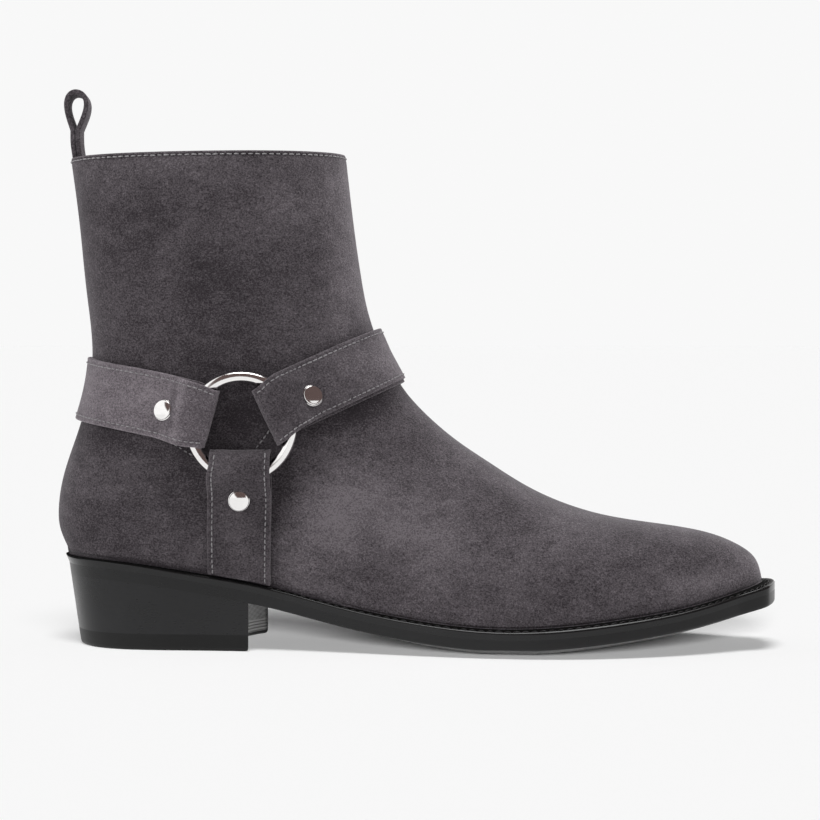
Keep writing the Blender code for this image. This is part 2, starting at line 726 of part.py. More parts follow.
def make_stud(strap, row, lines, side, far_end):
    """A domed rivet cap pressed a little into a strap."""
    at = row.stud - row.fold
    places = [end_station(d, side, far_end) for d in (at - STUD_RADIUS, at, at + STUD_RADIUS)]
    _, over = strap_faces(lines, places)
    up = Vector(np.cross(over[2, 2] - over[2, 0], over[3, 1] - over[1, 1])).normalized()
    up *= math.copysign(1.0, up.y * side)
    frame = Matrix.Translation(Vector(over[2, 1])) @ up.to_track_quat("Z", "Y").to_matrix().to_4x4()
    turns = [math.pi / 2 * i / STUD_STEPS for i in range(STUD_STEPS + 1)]
    dome = [(STUD_RADIUS * math.sin(a), STUD_RIM + (STUD_HEIGHT - STUD_RIM) * math.cos(a)) for a in turns]
    name = row.name + "_" + SIDE_NAMES[side]
    stud = turned_object("stud_" + name, dome + [(STUD_RADIUS, -STUD_SUNK), (0.0, -STUD_SUNK)], "nickel")
    stud.matrix_basis = frame
    seat, wide = -STUD_SUNK - GAP, STUD_RADIUS + GAP
    pocket = [(0.0, STUD_RADIUS), (wide, STUD_RADIUS), (wide, seat), (0.0, seat)]
    cutter = turned_object("pocket_" + name, pocket, "suede")
    cutter.matrix_basis = frame
    cut_away(strap, cutter, "stud " + SIDE_NAMES[side])
    return stud


def loop_x(z):
    """The middle of the pull loop: along the inside of the wall, then back over the collar."""
    stem = LOOP_COLLAR_X + LOOP_STEM_LEAN * (z - SHAFT_HEIGHT)
    return stem + smooth((z - SHAFT_HEIGHT) / LOOP_BEND) * (LOOP_HEAD_X - stem)


def loop_outlines():
    """The eye of the pull loop and its outside, as two closed outlines of (x, z)."""
    right = []
    for i in range(1, LOOP_STEPS):
        share = (1 - math.cos(math.pi * i / LOOP_STEPS)) / 2
        half = LOOP_EYE_HALF * math.sin(math.pi * share**2) ** LOOP_FULLNESS
        right.append((half, LOOP_EYE_FOOT + share * (LOOP_EYE_TOP - LOOP_EYE_FOOT)))
    eye = [(0.0, LOOP_EYE_FOOT)] + right + [(0.0, LOOP_EYE_TOP)] + [(-x, z) for x, z in reversed(right)]
    stem_heights = (LOOP_STEM_FOOT, SHAFT_HEIGHT, SHAFT_HEIGHT + LOOP_BEND / 2)
    outside = [(LOOP_STRIP, z) for z in stem_heights]
    run = np.array(eye[: LOOP_STEPS + 1])
    ahead = np.gradient(run, axis=0)
    ahead /= np.linalg.norm(ahead, axis=1, keepdims=True)
    for (x, z), (dx, dz) in zip(run[1:-1], ahead[1:-1]):
        outside.append((x + LOOP_STRIP * dz, z - LOOP_STRIP * dx))
    outside.append((0.0, LOOP_EYE_TOP + LOOP_STRIP))
    outside += [(-x, z) for x, z in reversed(outside[:-1])]
    return eye, outside


def make_pull_loop():
    """The strip sewn inside the back of the collar, turned over to a loop."""
    curve = bpy.data.curves.new("pull_loop", "CURVE")
    curve.dimensions = "2D"
    curve.fill_mode = "BOTH"
    curve.extrude = LOOP_WIDTH / 2
    for outline in loop_outlines():
        line = curve.splines.new("POLY")
        line.points.add(len(outline) - 1)
        for corner, (x, z) in zip(line.points, outline):
            corner.co = (loop_x(z) + x, z, 0.0, 1.0)
        line.use_cyclic_u = True
    loop = link(bpy.data.objects.new("pull_loop", curve), "suede")
    loop.rotation_euler = (math.pi / 2, 0, 0)
    return loop


def make_material(name, finish):
    """A plain finish."""
    material = bpy.data.materials.new(name)
    material.use_nodes = True
    shader = material.node_tree.nodes["Principled BSDF"]
    shader.inputs["Base Color"].default_value = (*finish.colour, 1.0)
    shader.inputs["Roughness"].default_value = finish.roughness
    shader.inputs["Metallic"].default_value = finish.metallic
    return material


def new_collection(name):
    """A collection in the scene."""
    collection = bpy.data.collections.new(name)
    bpy.context.scene.collection.children.link(collection)
    return collection


def centre_boot():
    """Moves the root so that the origin lies on the floor under the middle of the boot."""
    bpy.context.view_layer.update()
    graph = bpy.context.evaluated_depsgraph_get()
    corners = []
    for obj in BOOT.objects:
        if obj.type != "EMPTY":
            solid = obj.evaluated_get(graph)
            corners += [solid.matrix_world @ corner.co for corner in solid.to_mesh().vertices]
            solid.to_mesh_clear()
    low, high = np.min(corners, axis=0), np.max(corners, axis=0)
    ROOT.location = (-(low[0] + high[0]) / 2, -(low[1] + high[1]) / 2, -low[2])


for old in list(bpy.data.objects):
    bpy.data.objects.remove(old)

BOOT = new_collection("harness_boot")
CUTTERS = new_collection("cutters")
ROOT = bpy.data.objects.new("harness_boot_root", None)
BOOT.objects.link(ROOT)
MATERIALS = {
    "suede": make_material("suede", SUEDE),
    "sole": make_material("sole", SOLE_BLACK),
    "heel": make_material("heel", HEEL_BLACK),
    "rubber": make_material("rubber", RUBBER),
    "insole": make_material("insole", INSOLE_LEATHER),
    "nickel": make_material("nickel", NICKEL),
}

make_outsole()
make_welt()
make_heel_stack()
make_top_piece()
make_insole()
make_upper()
make_pull_loop()

SKIN = surface_tree()
RINGS = {side: ring_frame(side) for side in SIDE_NAMES}
make_wrap_strap(BACK_STRAP)
make_wrap_strap(FRONT_STRAP)
for ring_side in SIDE_NAMES:
    make_drop_strap(LOWER_STRAP, ring_side)
    make_ring(ring_side)

centre_boot()
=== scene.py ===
"""Looks of a right-foot harness ankle boot in charcoal suede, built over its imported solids.

Metres, +Z up, +X to the toe, -Y to the outer (lateral) side of the foot. Shapes are worked out in
the last's frame: x from the back of the sole, y from the line through heel and toe, z from the
floor. The heel's rest face gives the step from that frame to the row frame.
"""

import json
import logging
import math
from collections.abc import Sequence
from dataclasses import dataclass, field
from enum import Enum, IntEnum
from typing import Any, NamedTuple

import bmesh
import bpy
import numpy as np
from bpy.types import Collection, Light, Material, Mesh, Node, NodeSocket, NodeTree, Object
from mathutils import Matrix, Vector
from mathutils.bvhtree import BVHTree


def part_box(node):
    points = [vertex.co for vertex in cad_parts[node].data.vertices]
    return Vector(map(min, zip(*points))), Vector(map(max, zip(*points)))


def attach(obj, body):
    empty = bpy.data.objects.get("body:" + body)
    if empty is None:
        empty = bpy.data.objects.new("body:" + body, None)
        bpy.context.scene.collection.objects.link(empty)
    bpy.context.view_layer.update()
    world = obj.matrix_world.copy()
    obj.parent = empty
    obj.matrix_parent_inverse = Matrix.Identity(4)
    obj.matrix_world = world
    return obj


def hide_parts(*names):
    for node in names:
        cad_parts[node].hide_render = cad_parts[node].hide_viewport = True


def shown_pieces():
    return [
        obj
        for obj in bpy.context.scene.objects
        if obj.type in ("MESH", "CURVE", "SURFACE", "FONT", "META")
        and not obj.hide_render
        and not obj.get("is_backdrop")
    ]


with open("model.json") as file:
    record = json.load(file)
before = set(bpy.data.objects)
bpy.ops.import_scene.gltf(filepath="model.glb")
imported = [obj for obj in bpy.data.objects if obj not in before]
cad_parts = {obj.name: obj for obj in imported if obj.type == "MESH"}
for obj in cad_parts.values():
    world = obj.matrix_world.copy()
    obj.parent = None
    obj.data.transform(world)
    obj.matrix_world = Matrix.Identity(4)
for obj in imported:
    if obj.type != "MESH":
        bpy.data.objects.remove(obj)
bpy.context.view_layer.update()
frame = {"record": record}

Array = np.ndarray
Pair = tuple[Array, Array]
Colour = tuple[float, float, float]

LOG = logging.getLogger("harness_boot")
BODY = "root"
WELD = 2e-6
# Steps round a strip's edge
EDGE_TURNS = np.radians((0.0, 30.0, 60.0, 90.0))
TINY = 1e-12
# Where most values of a cloud pattern lie
CLOUD = (0.3, 0.7)

# Where the heel's rest face lies in the last's frame, and from it the step to the row frame
HEEL_REST_X = 0.044
HEEL_REST = next(mount for mount in frame["record"]["mounts"] if mount["name"] == "heel_rest")
STEP = np.array(HEEL_REST["pos_m"]) - np.array((HEEL_REST_X, 0.0, 0.0))


class Side(IntEnum):
    """The two sides of the foot, by the sign of y."""

    LATERAL = -1
    MEDIAL = 1

    @property
    def word(self) -> str:
        """The side's name in lower case."""
        return self.name.lower()


class SoleRow(NamedTuple):
    """A station of the sole: shares of length, ball width and heel height, then metres."""

    along: float
    lateral: float
    medial: float
    top: float
    edge: float
    camber: float


class BackRow(NamedTuple):
    """A point of the back seam: share of the shaft's height, and x in metres."""

    height: float
    x: float


class LastRow(NamedTuple):
    """A fanned section of the last, from its lower edge to the ridge or the shaft's front."""

    edge: float
    front_x: float
    front_z: float
    lateral: float
    medial: float
    full: float


class Inset(NamedTuple):
    """How far an outline stands in from the sole's edge: metres at the ends, shares at the sides."""

    back: float = 0.0
    toe: float = 0.0
    side_heel: float = 0.0
    side_ball: float = 0.0

    def scaled(self, share: float) -> "Inset":
        """The same inset at a share of its depth."""
        return Inset(*(share * value for value in self))


SOLE_ROWS = tuple(SoleRow(*row) for row in (
    (0.000, 0.000, 0.000, 0.993, 0.0080, 0.0000), (0.030, 0.228, 0.228, 0.990, 0.0080, 0.0000),
    (0.107, 0.327, 0.327, 0.950, 0.0080, 0.0000), (0.200, 0.330, 0.321, 0.842, 0.0080, 0.0000),
    (0.300, 0.340, 0.296, 0.703, 0.0082, 0.0001), (0.400, 0.378, 0.281, 0.510, 0.0080, 0.0009),
    (0.500, 0.442, 0.316, 0.367, 0.0079, 0.0021), (0.617, 0.501, 0.413, 0.287, 0.0078, 0.0034),
    (0.707, 0.511, 0.474, 0.315, 0.0078, 0.0033), (0.800, 0.462, 0.454, 0.397, 0.0078, 0.0025),
    (0.880, 0.365, 0.367, 0.495, 0.0078, 0.0018), (0.947, 0.235, 0.237, 0.622, 0.0083, 0.0010),
    (1.000, 0.000, 0.000, 0.736, 0.0088, 0.0003),
))
BACK_ROWS = tuple(BackRow(*row) for row in (
    (0.1940, 0.0011), (0.2360, -0.0024),
    (0.2780, -0.0030), (0.3450, -0.0008),
    (0.4280, 0.0049), (0.5120, 0.0099),
    (0.5860, 0.0118), (0.7280, 0.0094),
    (0.8600, 0.0067), (1.0000, 0.0030),
))
LAST_ROWS = tuple(LastRow(*row) for row in (
    (0.000, 0.9850, 0.1400, 0.000, 0.000, 0.00), (0.009, 0.9764, 0.1790, 0.081, 0.081, 0.00),
    (0.034, 0.9525, 0.2078, 0.159, 0.160, 0.00), (0.080, 0.9078, 0.2332, 0.249, 0.250, 0.00),
    (0.150, 0.8390, 0.2506, 0.341, 0.338, 0.00), (0.240, 0.7533, 0.2712, 0.408, 0.398, 0.00),
    (0.330, 0.6700, 0.3156, 0.434, 0.393, 0.00), (0.430, 0.6083, 0.3694, 0.418, 0.372, 0.00),
    (0.550, 0.5583, 0.4184, 0.393, 0.357, 0.00), (0.690, 0.5183, 0.4672, 0.372, 0.352, 0.05),
    (0.830, 0.4900, 0.5104, 0.362, 0.352, 0.18), (0.930, 0.4727, 0.5466, 0.359, 0.352, 0.38),
    (0.985, 0.4610, 0.5772, 0.359, 0.354, 0.62), (1.000, 0.4540, 0.5960, 0.361, 0.357, 0.75),
    (1.050, 0.4468, 0.6200, 0.363, 0.360, 0.72), (1.130, 0.4392, 0.6470, 0.365, 0.363, 0.60),
    (1.250, 0.4316, 0.6830, 0.369, 0.366, 0.46), (1.400, 0.4252, 0.7250, 0.375, 0.372, 0.36),
    (1.580, 0.4175, 0.7940, 0.385, 0.382, 0.30), (1.780, 0.4092, 0.8840, 0.394, 0.391, 0.27),
    (2.000, 0.3996, 1.0068, 0.398, 0.396, 0.25),
))
HEEL_ROW = 13
TOP_ROW = len(LAST_ROWS) - 1
WIDEST_ROW = 7
SOLE_EDGE = Inset()
FEATHER = Inset(0.0014, 0.0053, 0.05, 0.08)
HEM = Inset(0.0019, 0.0057, 0.058, 0.086)
TUCK = Inset(0.0042, 0.0075, 0.12, 0.125)
WELT_INNER = Inset(0.0048, 0.0090, 0.16, 0.145)
INSOLE_EDGE = Inset(0.0050, 0.0092, 0.165, 0.150)
# Half widths of heel and ball, which turn a depth into shares
HEEL_HALF, BALL_HALF = 0.032, 0.048


def even_inset(depth: float) -> Inset:
    """An inset of one depth all round, as shares of the heel's and the ball's half widths."""
    return Inset(depth, depth, depth / HEEL_HALF, depth / BALL_HALF)


def smooth(value: Array | float) -> Array:
    """An even S from 0 at 0 to 1 at 1."""
    share = np.clip(value, 0.0, 1.0)
    return share * share * (3 - 2 * share)


def bell(distance: Array | float, width: float) -> Array:
    """A soft bump of height 1 at distance 0."""
    return np.exp(-((np.asarray(distance) / width) ** 2))


def unit(vectors: Array) -> Array:
    """Vectors of length 1."""
    length = np.linalg.norm(vectors, axis=-1, keepdims=True)
    return vectors / np.maximum(length, TINY)


def joined(*parts: Array | float) -> Array:
    """Coordinates put together to points."""
    return np.stack(np.broadcast_arrays(*parts), axis=-1)


class Spline:
    """The smoothest cubic curve through values at knots, read at any array of numbers."""

    def __init__(self, knots: Sequence[float], values: Sequence[float]) -> None:
        """Solves for the curve's bend at each knot.

        Args:
            knots: rising numbers.
            values: the curve's values there.
        """
        self.x = np.asarray(knots, float)
        self.y = np.asarray(values, float)
        self.step = np.diff(self.x)
        count = len(self.x)
        system, right = np.eye(count), np.zeros(count)
        for i in range(1, count - 1):
            before, after = self.step[i - 1], self.step[i]
            system[i, i - 1 : i + 2] = before, 2 * (before + after), after
            rise = (self.y[i + 1] - self.y[i]) / after
            right[i] = 6 * (rise - (self.y[i] - self.y[i - 1]) / before)
        self.bend = np.linalg.solve(system, right)

    def __call__(self, at: Array | float) -> Array:
        """The curve's values.

        Args:
            at: where to read it.

        Returns:
            One value for each place.
        """
        at = np.asarray(at, float)
        i = np.clip(np.searchsorted(self.x, at) - 1, 0, len(self.x) - 2)
        after, before, h = self.x[i + 1] - at, at - self.x[i], self.step[i]
        cubic = (self.bend[i] * after**3 + self.bend[i + 1] * before**3) / (6 * h)
        start = (self.y[i] / h - self.bend[i] * h / 6) * after
        return cubic + start + (self.y[i + 1] / h - self.bend[i + 1] * h / 6) * before


@dataclass
class Last:
    """The form that the boot is lasted on: sole outline, profile and upper as smooth functions."""

    length: float = 0.300
    ball_width: float = 0.098
    heel_height: float = 0.038
    shaft_height: float = 0.2054
    welt_rise: float = 0.0018
    gap: float = 0.0003
    heel_length: float = 0.0825
    heel_lip: float = 0.0010
    heel_lip_depth: float = 0.0030
    heel_back_draw: float = 0.0055
    heel_side_draw: float = 0.06
    toe_blunt: float = 0.55
    blunt_from: float = 0.945
    blunt_over: float = 0.030
    toe_reach: float = 0.0009
    reach_from: float = 0.82
    reach_over: float = 0.16
    band_low: float = 0.0004
    band_more: float = 0.0005
    band_from: float = 0.045
    band_over: float = 0.060
    gather_from: float = 0.3
    gather_over: float = 0.7
    least_half: float = 0.00003
    sole: dict[str, Spline] = field(init=False)
    width: dict[Side, Spline] = field(init=False)
    back_x: Spline = field(init=False)
    form: dict[str, Spline] = field(init=False)

    def __post_init__(self) -> None:
        """Makes the splines from the tables."""
        along = [row.along for row in SOLE_ROWS]
        heights = ("top", "edge", "camber")
        self.sole = {n: Spline(along, [getattr(r, n) for r in SOLE_ROWS]) for n in heights}
        self.width = {s: Spline(along, [getattr(r, s.word) ** 2 for r in SOLE_ROWS]) for s in Side}
        self.back_x = Spline([r.height for r in BACK_ROWS], [r.x for r in BACK_ROWS])
        at = range(len(LAST_ROWS))
        self.form = {n: Spline(at, [getattr(r, n) for r in LAST_ROWS]) for n in LastRow._fields}

    def sole_top(self, x: Array) -> Array:
        """Height of the welt's upper edge at x."""
        return self.sole["top"](x / self.length) * self.heel_height

    def camber(self, x: Array) -> Array:
        """How far the outsole's middle hangs below its edges at x."""
        return np.maximum(0.0, self.sole["camber"](x / self.length))

    def sole_bottom(self, x: Array) -> Array:
        """Height of the outsole's lower face at x."""
        side = self.sole["edge"](x / self.length)
        return np.maximum(0.0, self.sole_top(x) - side - self.camber(x))

    def drawn_in(self, x: Array, y: Array, z: Array) -> Array:
        """Points of the sole's or heel's side, which draws in towards the floor at the back.

        Args:
            x: along the sole.
            y: across it, before it draws in.
            z: height.

        Returns:
            The points.
        """
        depth = self.sole_top(x) - z
        share = np.maximum(0.0, 1 - x / self.heel_length)
        lip = self.heel_lip * np.clip(depth / self.heel_lip_depth, 0.0, 1.0)
        draw = lip + self.heel_back_draw * depth / self.heel_height
        side = 1 - share * self.heel_side_draw * depth / self.heel_height
        return joined(x + share * draw, y * side, z)

    def outline(self, along: Array, side: Side, inset: Inset) -> Pair:
        """Points of the sole's outline, or of one that stands in from it.

        Args:
            along: shares of the sole's length.
            side: which side of the foot.
            inset: how far the outline stands in.

        Returns:
            x and y.
        """
        half = np.sqrt(np.maximum(0.0, self.width[side](along))) * self.ball_width
        ease = smooth(along / SOLE_ROWS[WIDEST_ROW].along)
        half = half * (1 - inset.side_heel - (inset.side_ball - inset.side_heel) * ease)
        x = inset.back + along * (self.length - inset.back - inset.toe)
        return x + self.toe_reach * smooth((along - self.reach_from) / self.reach_over), side * half

    def ring(self, along: Array, inset: Inset, blunt: float = 1.0) -> Pair:
        """An outline right round: the lateral side to the toe, the medial side back.

        Args:
            along: shares of the sole's length, from heel to toe.
            inset: how far the outline stands in.
            blunt: how much of the sole's blunt toe it has.

        Returns:
            x and y.
        """
        shares = np.concatenate((along, along[::-1]))
        there = self.outline(along, Side.LATERAL, inset)
        back = self.outline(along[::-1], Side.MEDIAL, inset)
        x = np.concatenate((there[0], back[0]))
        push = blunt * self.toe_blunt * smooth((shares - self.blunt_from) / self.blunt_over)
        tip = self.length + self.toe_reach - inset.toe
        return x + push * (tip - x), np.concatenate((there[1], back[1]))

    def band(self, x: Array) -> Array:
        """Height of the welt's dark inner band at x: low round the heel, full from the arch on."""
        return self.band_low + self.band_more * smooth((x - self.band_from) / self.band_over)

    def edge_points(self, edge: Array) -> tuple[Array, ...]:
        """Where sections of the upper start: along the feather line, then up the back seam.

        Args:
            edge: 0 to 1 from toe to heel, 1 to 2 up the back.

        Returns:
            x, z and the half widths of both sides.
        """
        along = np.clip(1 - edge, 0.0, 1.0)
        x, lateral = self.outline(along, Side.LATERAL, FEATHER)
        medial = self.outline(along, Side.MEDIAL, FEATHER)[1]
        low = self.sole_top(np.float64(FEATHER.back)) + self.welt_rise + self.gap
        rise = low + np.maximum(0.0, edge - 1) * (self.shaft_height - low)
        up = edge >= 1
        x = np.where(up, self.back_x(rise / self.shaft_height), x)
        z = np.where(up, rise, self.sole_top(x) + self.welt_rise + self.gap)
        return x, z, np.where(up, 0.0, -lateral), np.where(up, 0.0, medial)

    def upper(self, rows: Array, across: Array) -> Array:
        """Points of the upper's outer face.

        Args:
            rows: places in the table of sections.
            across: -1 at the lateral lower edge, 0 at the ridge, 1 at the medial lower edge.

        Returns:
            An array of rows by columns by x, y, z.
        """
        rows, across = rows[:, None], across[None, :]
        edge = np.clip(self.form["edge"](rows), 0.0, 2.0)
        x, z, lateral, medial = self.edge_points(edge)
        front_x = self.form["front_x"](rows) * self.length
        front_z = self.form["front_z"](rows) * self.shaft_height
        full = self.form["full"](rows)
        closing = 1 + smooth((edge - self.gather_from) / self.gather_over)
        share = np.sin(math.pi / 2 * (1 - np.abs(across))) ** closing
        left = across < 0
        low = np.where(left, lateral, medial) ** 2 / (1 + full)
        middle = np.where(left, self.form["lateral"](rows), self.form["medial"](rows)) * self.ball_width
        swell = 4 * middle**2 - 2 * low
        square = (1 - share) * (low + swell * share) * (1 + full * (1 - 2 * share) ** 2)
        y = np.maximum(np.sqrt(np.maximum(0.0, square)), self.least_half * np.sqrt(np.abs(across)))
        y = y * np.where(left, -1.0, 1.0)
        return joined(x + share * (front_x - x), y, z + share * (front_z - z))


def grid_faces(rows: int, columns: int, round_rows: bool = False, round_columns: bool = False) -> Array:
    """Quads of a grid of points stored row after row.

    Args:
        rows: how many rows.
        columns: points in a row.
        round_rows: whether the last row joins the first.
        round_columns: whether the last column joins the first.

    Returns:
        Four point numbers for each quad.
    """
    i = np.arange(rows if round_rows else rows - 1)[:, None]
    j = np.arange(columns if round_columns else columns - 1)[None, :]
    k, m = (i + 1) % rows, (j + 1) % columns
    corners = (i * columns + j, i * columns + m, k * columns + m, k * columns + j)
    return joined(*corners).reshape(-1, 4)


def end_faces(rows: int, columns: int) -> list[list[int]]:
    """The two faces that close the first and the last row of a grid of points."""
    return [list(range(columns))[::-1], list(range((rows - 1) * columns, rows * columns))]


def grid_normals(points: Array) -> Array:
    """Unit normals of a grid of points, by its rows and columns."""
    return unit(np.cross(np.gradient(points, axis=1), np.gradient(points, axis=0)))


def run_lengths(points: Array) -> Array:
    """Distance along a line of points, from its first."""
    steps = np.linalg.norm(np.diff(points, axis=0), axis=-1)
    return np.concatenate((np.zeros((1, *steps.shape[1:])), np.cumsum(steps, axis=0)))


class Graph:
    """A node tree, with short calls for adding and joining nodes."""

    def __init__(self, tree: NodeTree) -> None:
        """Takes over a tree."""
        self.tree = tree

    def add(self, kind: str, inputs: dict[Any, Any] | None = None, **settings: Any) -> Node:
        """Adds a node.

        Args:
            kind: the node's Blender type.
            inputs: values or sockets by input name or number.
            settings: the node's own properties.

        Returns:
            The node.
        """
        node = self.tree.nodes.new(kind)
        for name, value in settings.items():
            setattr(node, name, value)
        self.set(node, inputs or {})
        return node

    def out(self, kind: str, inputs: dict[Any, Any] | None = None, **settings: Any) -> NodeSocket:
        """The first output of a new node. See add."""
        return self.add(kind, inputs, **settings).outputs[0]

    def set(self, node: Node, inputs: dict[Any, Any]) -> None:
        """Sets a node's inputs.

        Args:
            node: whose inputs.
            inputs: values or sockets by input name or number.
        """
        for name, value in inputs.items():
            if isinstance(value, NodeSocket):
                self.tree.links.new(value, node.inputs[name])
            else:
                node.inputs[name].default_value = value

    def math(self, operation: str, *values: Any, clamp: bool = False) -> NodeSocket:
        """Works one or two values or sockets out to another, by one of Blender's operations."""
        inputs = dict(enumerate(values))
        return self.out("ShaderNodeMath", inputs, operation=operation, use_clamp=clamp)

    def weighed(self, *parts: tuple[NodeSocket, float]) -> NodeSocket:
        """The sum of sockets, each times its weight."""
        return self.total(*(self.math("MULTIPLY", socket, weight) for socket, weight in parts))

    def total(self, *values: Any) -> NodeSocket:
        """The sum of several values or sockets."""
        total, *rest = values
        for value in rest:
            total = self.math("ADD", total, value)
        return total

    def noise(self, scale: Any, vector: NodeSocket, detail: float = 2.0, **more: Any) -> NodeSocket:
        """Adds a cloud pattern.

        Args:
            scale: how fine it is, in features per metre.
            vector: where it is read.
            detail: how many finer layers it has.
            more: further inputs by name.

        Returns:
            A value of about 0.5.
        """
        inputs = {"Scale": scale, "Vector": vector, "Detail": detail, **more}
        return self.add("ShaderNodeTexNoise", inputs).outputs["Fac"]

    def spread(
        self, value: NodeSocket, low: float, high: float, to: tuple[float, float] = (0.0, 1.0)
    ) -> NodeSocket:
        """Stretches a range of values to another, cut off at its ends."""
        inputs = {"Value": value, "From Min": low, "From Max": high, "To Min": to[0], "To Max": to[1]}
        return self.add("ShaderNodeMapRange", inputs).outputs["Result"]

    def mix(self, share: Any, first: Any, second: Any) -> NodeSocket:
        """Mixes two colours.

        Args:
            share: how much of the second.
            first: a colour or socket.
            second: a colour or socket.

        Returns:
            The mixed colour.
        """
        return self.add("ShaderNodeMix", {0: share, 6: first, 7: second}, data_type="RGBA").outputs[2]


def rgba(colour: Colour, gain: float = 1.0, more: float = 0.0) -> tuple[float, ...]:
    """A colour for a node's socket, brighter or darker by a gain, and raised by a little more."""
    return (*(gain * value + more for value in colour), 1.0)


def node_group(
    name: str, inputs: dict[str, str], outputs: dict[str, str], kind: str = "ShaderNodeTree"
) -> tuple[Graph, Node, Node]:
    """Starts a node group with named sockets.

    Args:
        name: the group's name.
        inputs: socket types by input name, such as Float or Color.
        outputs: socket types by output name.
        kind: the tree's Blender type.

    Returns:
        Its graph, its input node and its output node.
    """
    tree = bpy.data.node_groups.new(name, kind)
    for in_out, sockets in (("INPUT", inputs), ("OUTPUT", outputs)):
        for label, socket in sockets.items():
            tree.interface.new_socket(label, in_out=in_out, socket_type="NodeSocket" + socket)
    graph = Graph(tree)
    return graph, graph.add("NodeGroupInput"), graph.add("NodeGroupOutput")


class Effect(Enum):
    """Surface effects that several finishes share."""

    NAP = "suede_nap"
    GRAIN = "leather_grain"
    HANDLING = "handling_marks"


class Effects:
    """Builds each shared effect's node group once and adds it to graphs."""

    def __init__(self) -> None:
        """Starts with no group built."""
        self.built: dict[Effect, NodeTree] = {}

    def use(self, effect: Effect, graph: Graph, **inputs: Any) -> Node:
        """Adds an effect to a material's graph. Its group is built at its first use.

        Args:
            effect: which one.
            graph: the material's graph.
            inputs: the effect's inputs by name.

        Returns:
            The group's node.
        """
        if effect not in self.built:
            makers = {Effect.NAP: self.nap, Effect.GRAIN: self.grain, Effect.HANDLING: self.handling}
            self.built[effect] = makers[effect]()
        return graph.add("ShaderNodeGroup", inputs, node_tree=self.built[effect])

    def nap(self) -> NodeTree:
        """Brushed suede: soft clouds, finer mottles and short fibres.

        Returns:
            A group that puts out a colour and a height.
        """
        inputs = {"Dark": "Color", "Light": "Color", "Tone": "Float", "Contrast": "Float"}
        graph, given, out = node_group(Effect.NAP.value, inputs, {"Color": "Color", "Height": "Float"})
        place = graph.add("ShaderNodeTexCoord").outputs["Object"]
        inputs = {"Vector": place, "Scale": (1.0, 1.0, 1.7), "Rotation": (0.0, 0.5, 0.0)}
        brushed = graph.out("ShaderNodeMapping", inputs)
        cloud = graph.noise(30.0, place, 3.0, Roughness=0.55, Distortion=0.5)
        mottle = graph.noise(120.0, brushed, 4.0, Roughness=0.62, Distortion=0.4)
        fibre = graph.noise(950.0, brushed, 2.0, Roughness=0.7, Distortion=0.6)
        pile = graph.noise(1600.0, place, 2.0, Roughness=0.7)
        layers = ((cloud, 0.24), (mottle, 0.25), (fibre, 0.44), (pile, 0.66))
        value = graph.total(*(graph.spread(layer, *CLOUD, (-weight, weight)) for layer, weight in layers))
        value = graph.math("MULTIPLY", value, given.outputs["Contrast"])
        value = graph.math("ADD", graph.math("ADD", value, given.outputs["Tone"]), 0.5, clamp=True)
        value = graph.math("POWER", value, 1.6)
        colour = graph.mix(value, given.outputs["Dark"], given.outputs["Light"])
        graph.set(out, {"Color": colour, "Height": graph.weighed((fibre, 0.6), (pile, 0.4))})
        return graph.tree

    def grain(self) -> NodeTree:
        """Smooth leather: fine pebbles with pores, and a faint unevenness of its dye.

        Returns:
            A group that puts out a height and a tone.
        """
        outputs = {"Height": "Float", "Tone": "Float"}
        graph, given, out = node_group(Effect.GRAIN.value, {"Scale": "Float"}, outputs)
        place = graph.add("ShaderNodeTexCoord").outputs["Object"]
        wander = graph.add("ShaderNodeTexNoise", {"Scale": 400.0, "Vector": place}).outputs["Color"]
        inputs = {0: wander, 1: (0.0006, 0.0006, 0.0006), 2: place}
        bent = graph.out("ShaderNodeVectorMath", inputs, operation="MULTIPLY_ADD")
        inputs = {"Scale": given.outputs["Scale"], "Vector": bent}
        pebbles = graph.add("ShaderNodeTexVoronoi", inputs, feature="SMOOTH_F1").outputs["Distance"]
        cloud, fine = graph.noise(45.0, place, 3.0), graph.noise(2400.0, place, 2.0)
        raised = graph.spread(pebbles, 0.0, 0.9, (1.0, 0.0))
        height = graph.math("ADD", raised, graph.math("MULTIPLY", fine, 0.25))
        graph.set(out, {"Height": height, "Tone": graph.spread(cloud, *CLOUD, (-0.5, 0.5))})
        return graph.tree

    def handling(self) -> NodeTree:
        """Faint rubs and hair scratches of a polished or burnished surface.

        Returns:
            A group that puts out a mask and a height.
        """
        outputs = {"Mask": "Float", "Height": "Float"}
        graph, given, out = node_group(Effect.HANDLING.value, {"Scale": "Float"}, outputs)
        place = graph.add("ShaderNodeTexCoord").outputs["Object"]
        rub = graph.noise(given.outputs["Scale"], place, 4.0, Roughness=0.6)
        drawn = graph.out("ShaderNodeMapping", {"Vector": place, "Scale": (0.12, 1.0, 1.0)})
        lines = graph.noise(1600.0, drawn, 2.0)
        rubbed = graph.spread(rub, *CLOUD, (0.0, 0.7))
        scratched = graph.spread(lines, 0.35, 0.7, (0.0, 0.3))
        graph.set(out, {"Mask": graph.math("ADD", rubbed, scratched, clamp=True), "Height": lines})
        return graph.tree


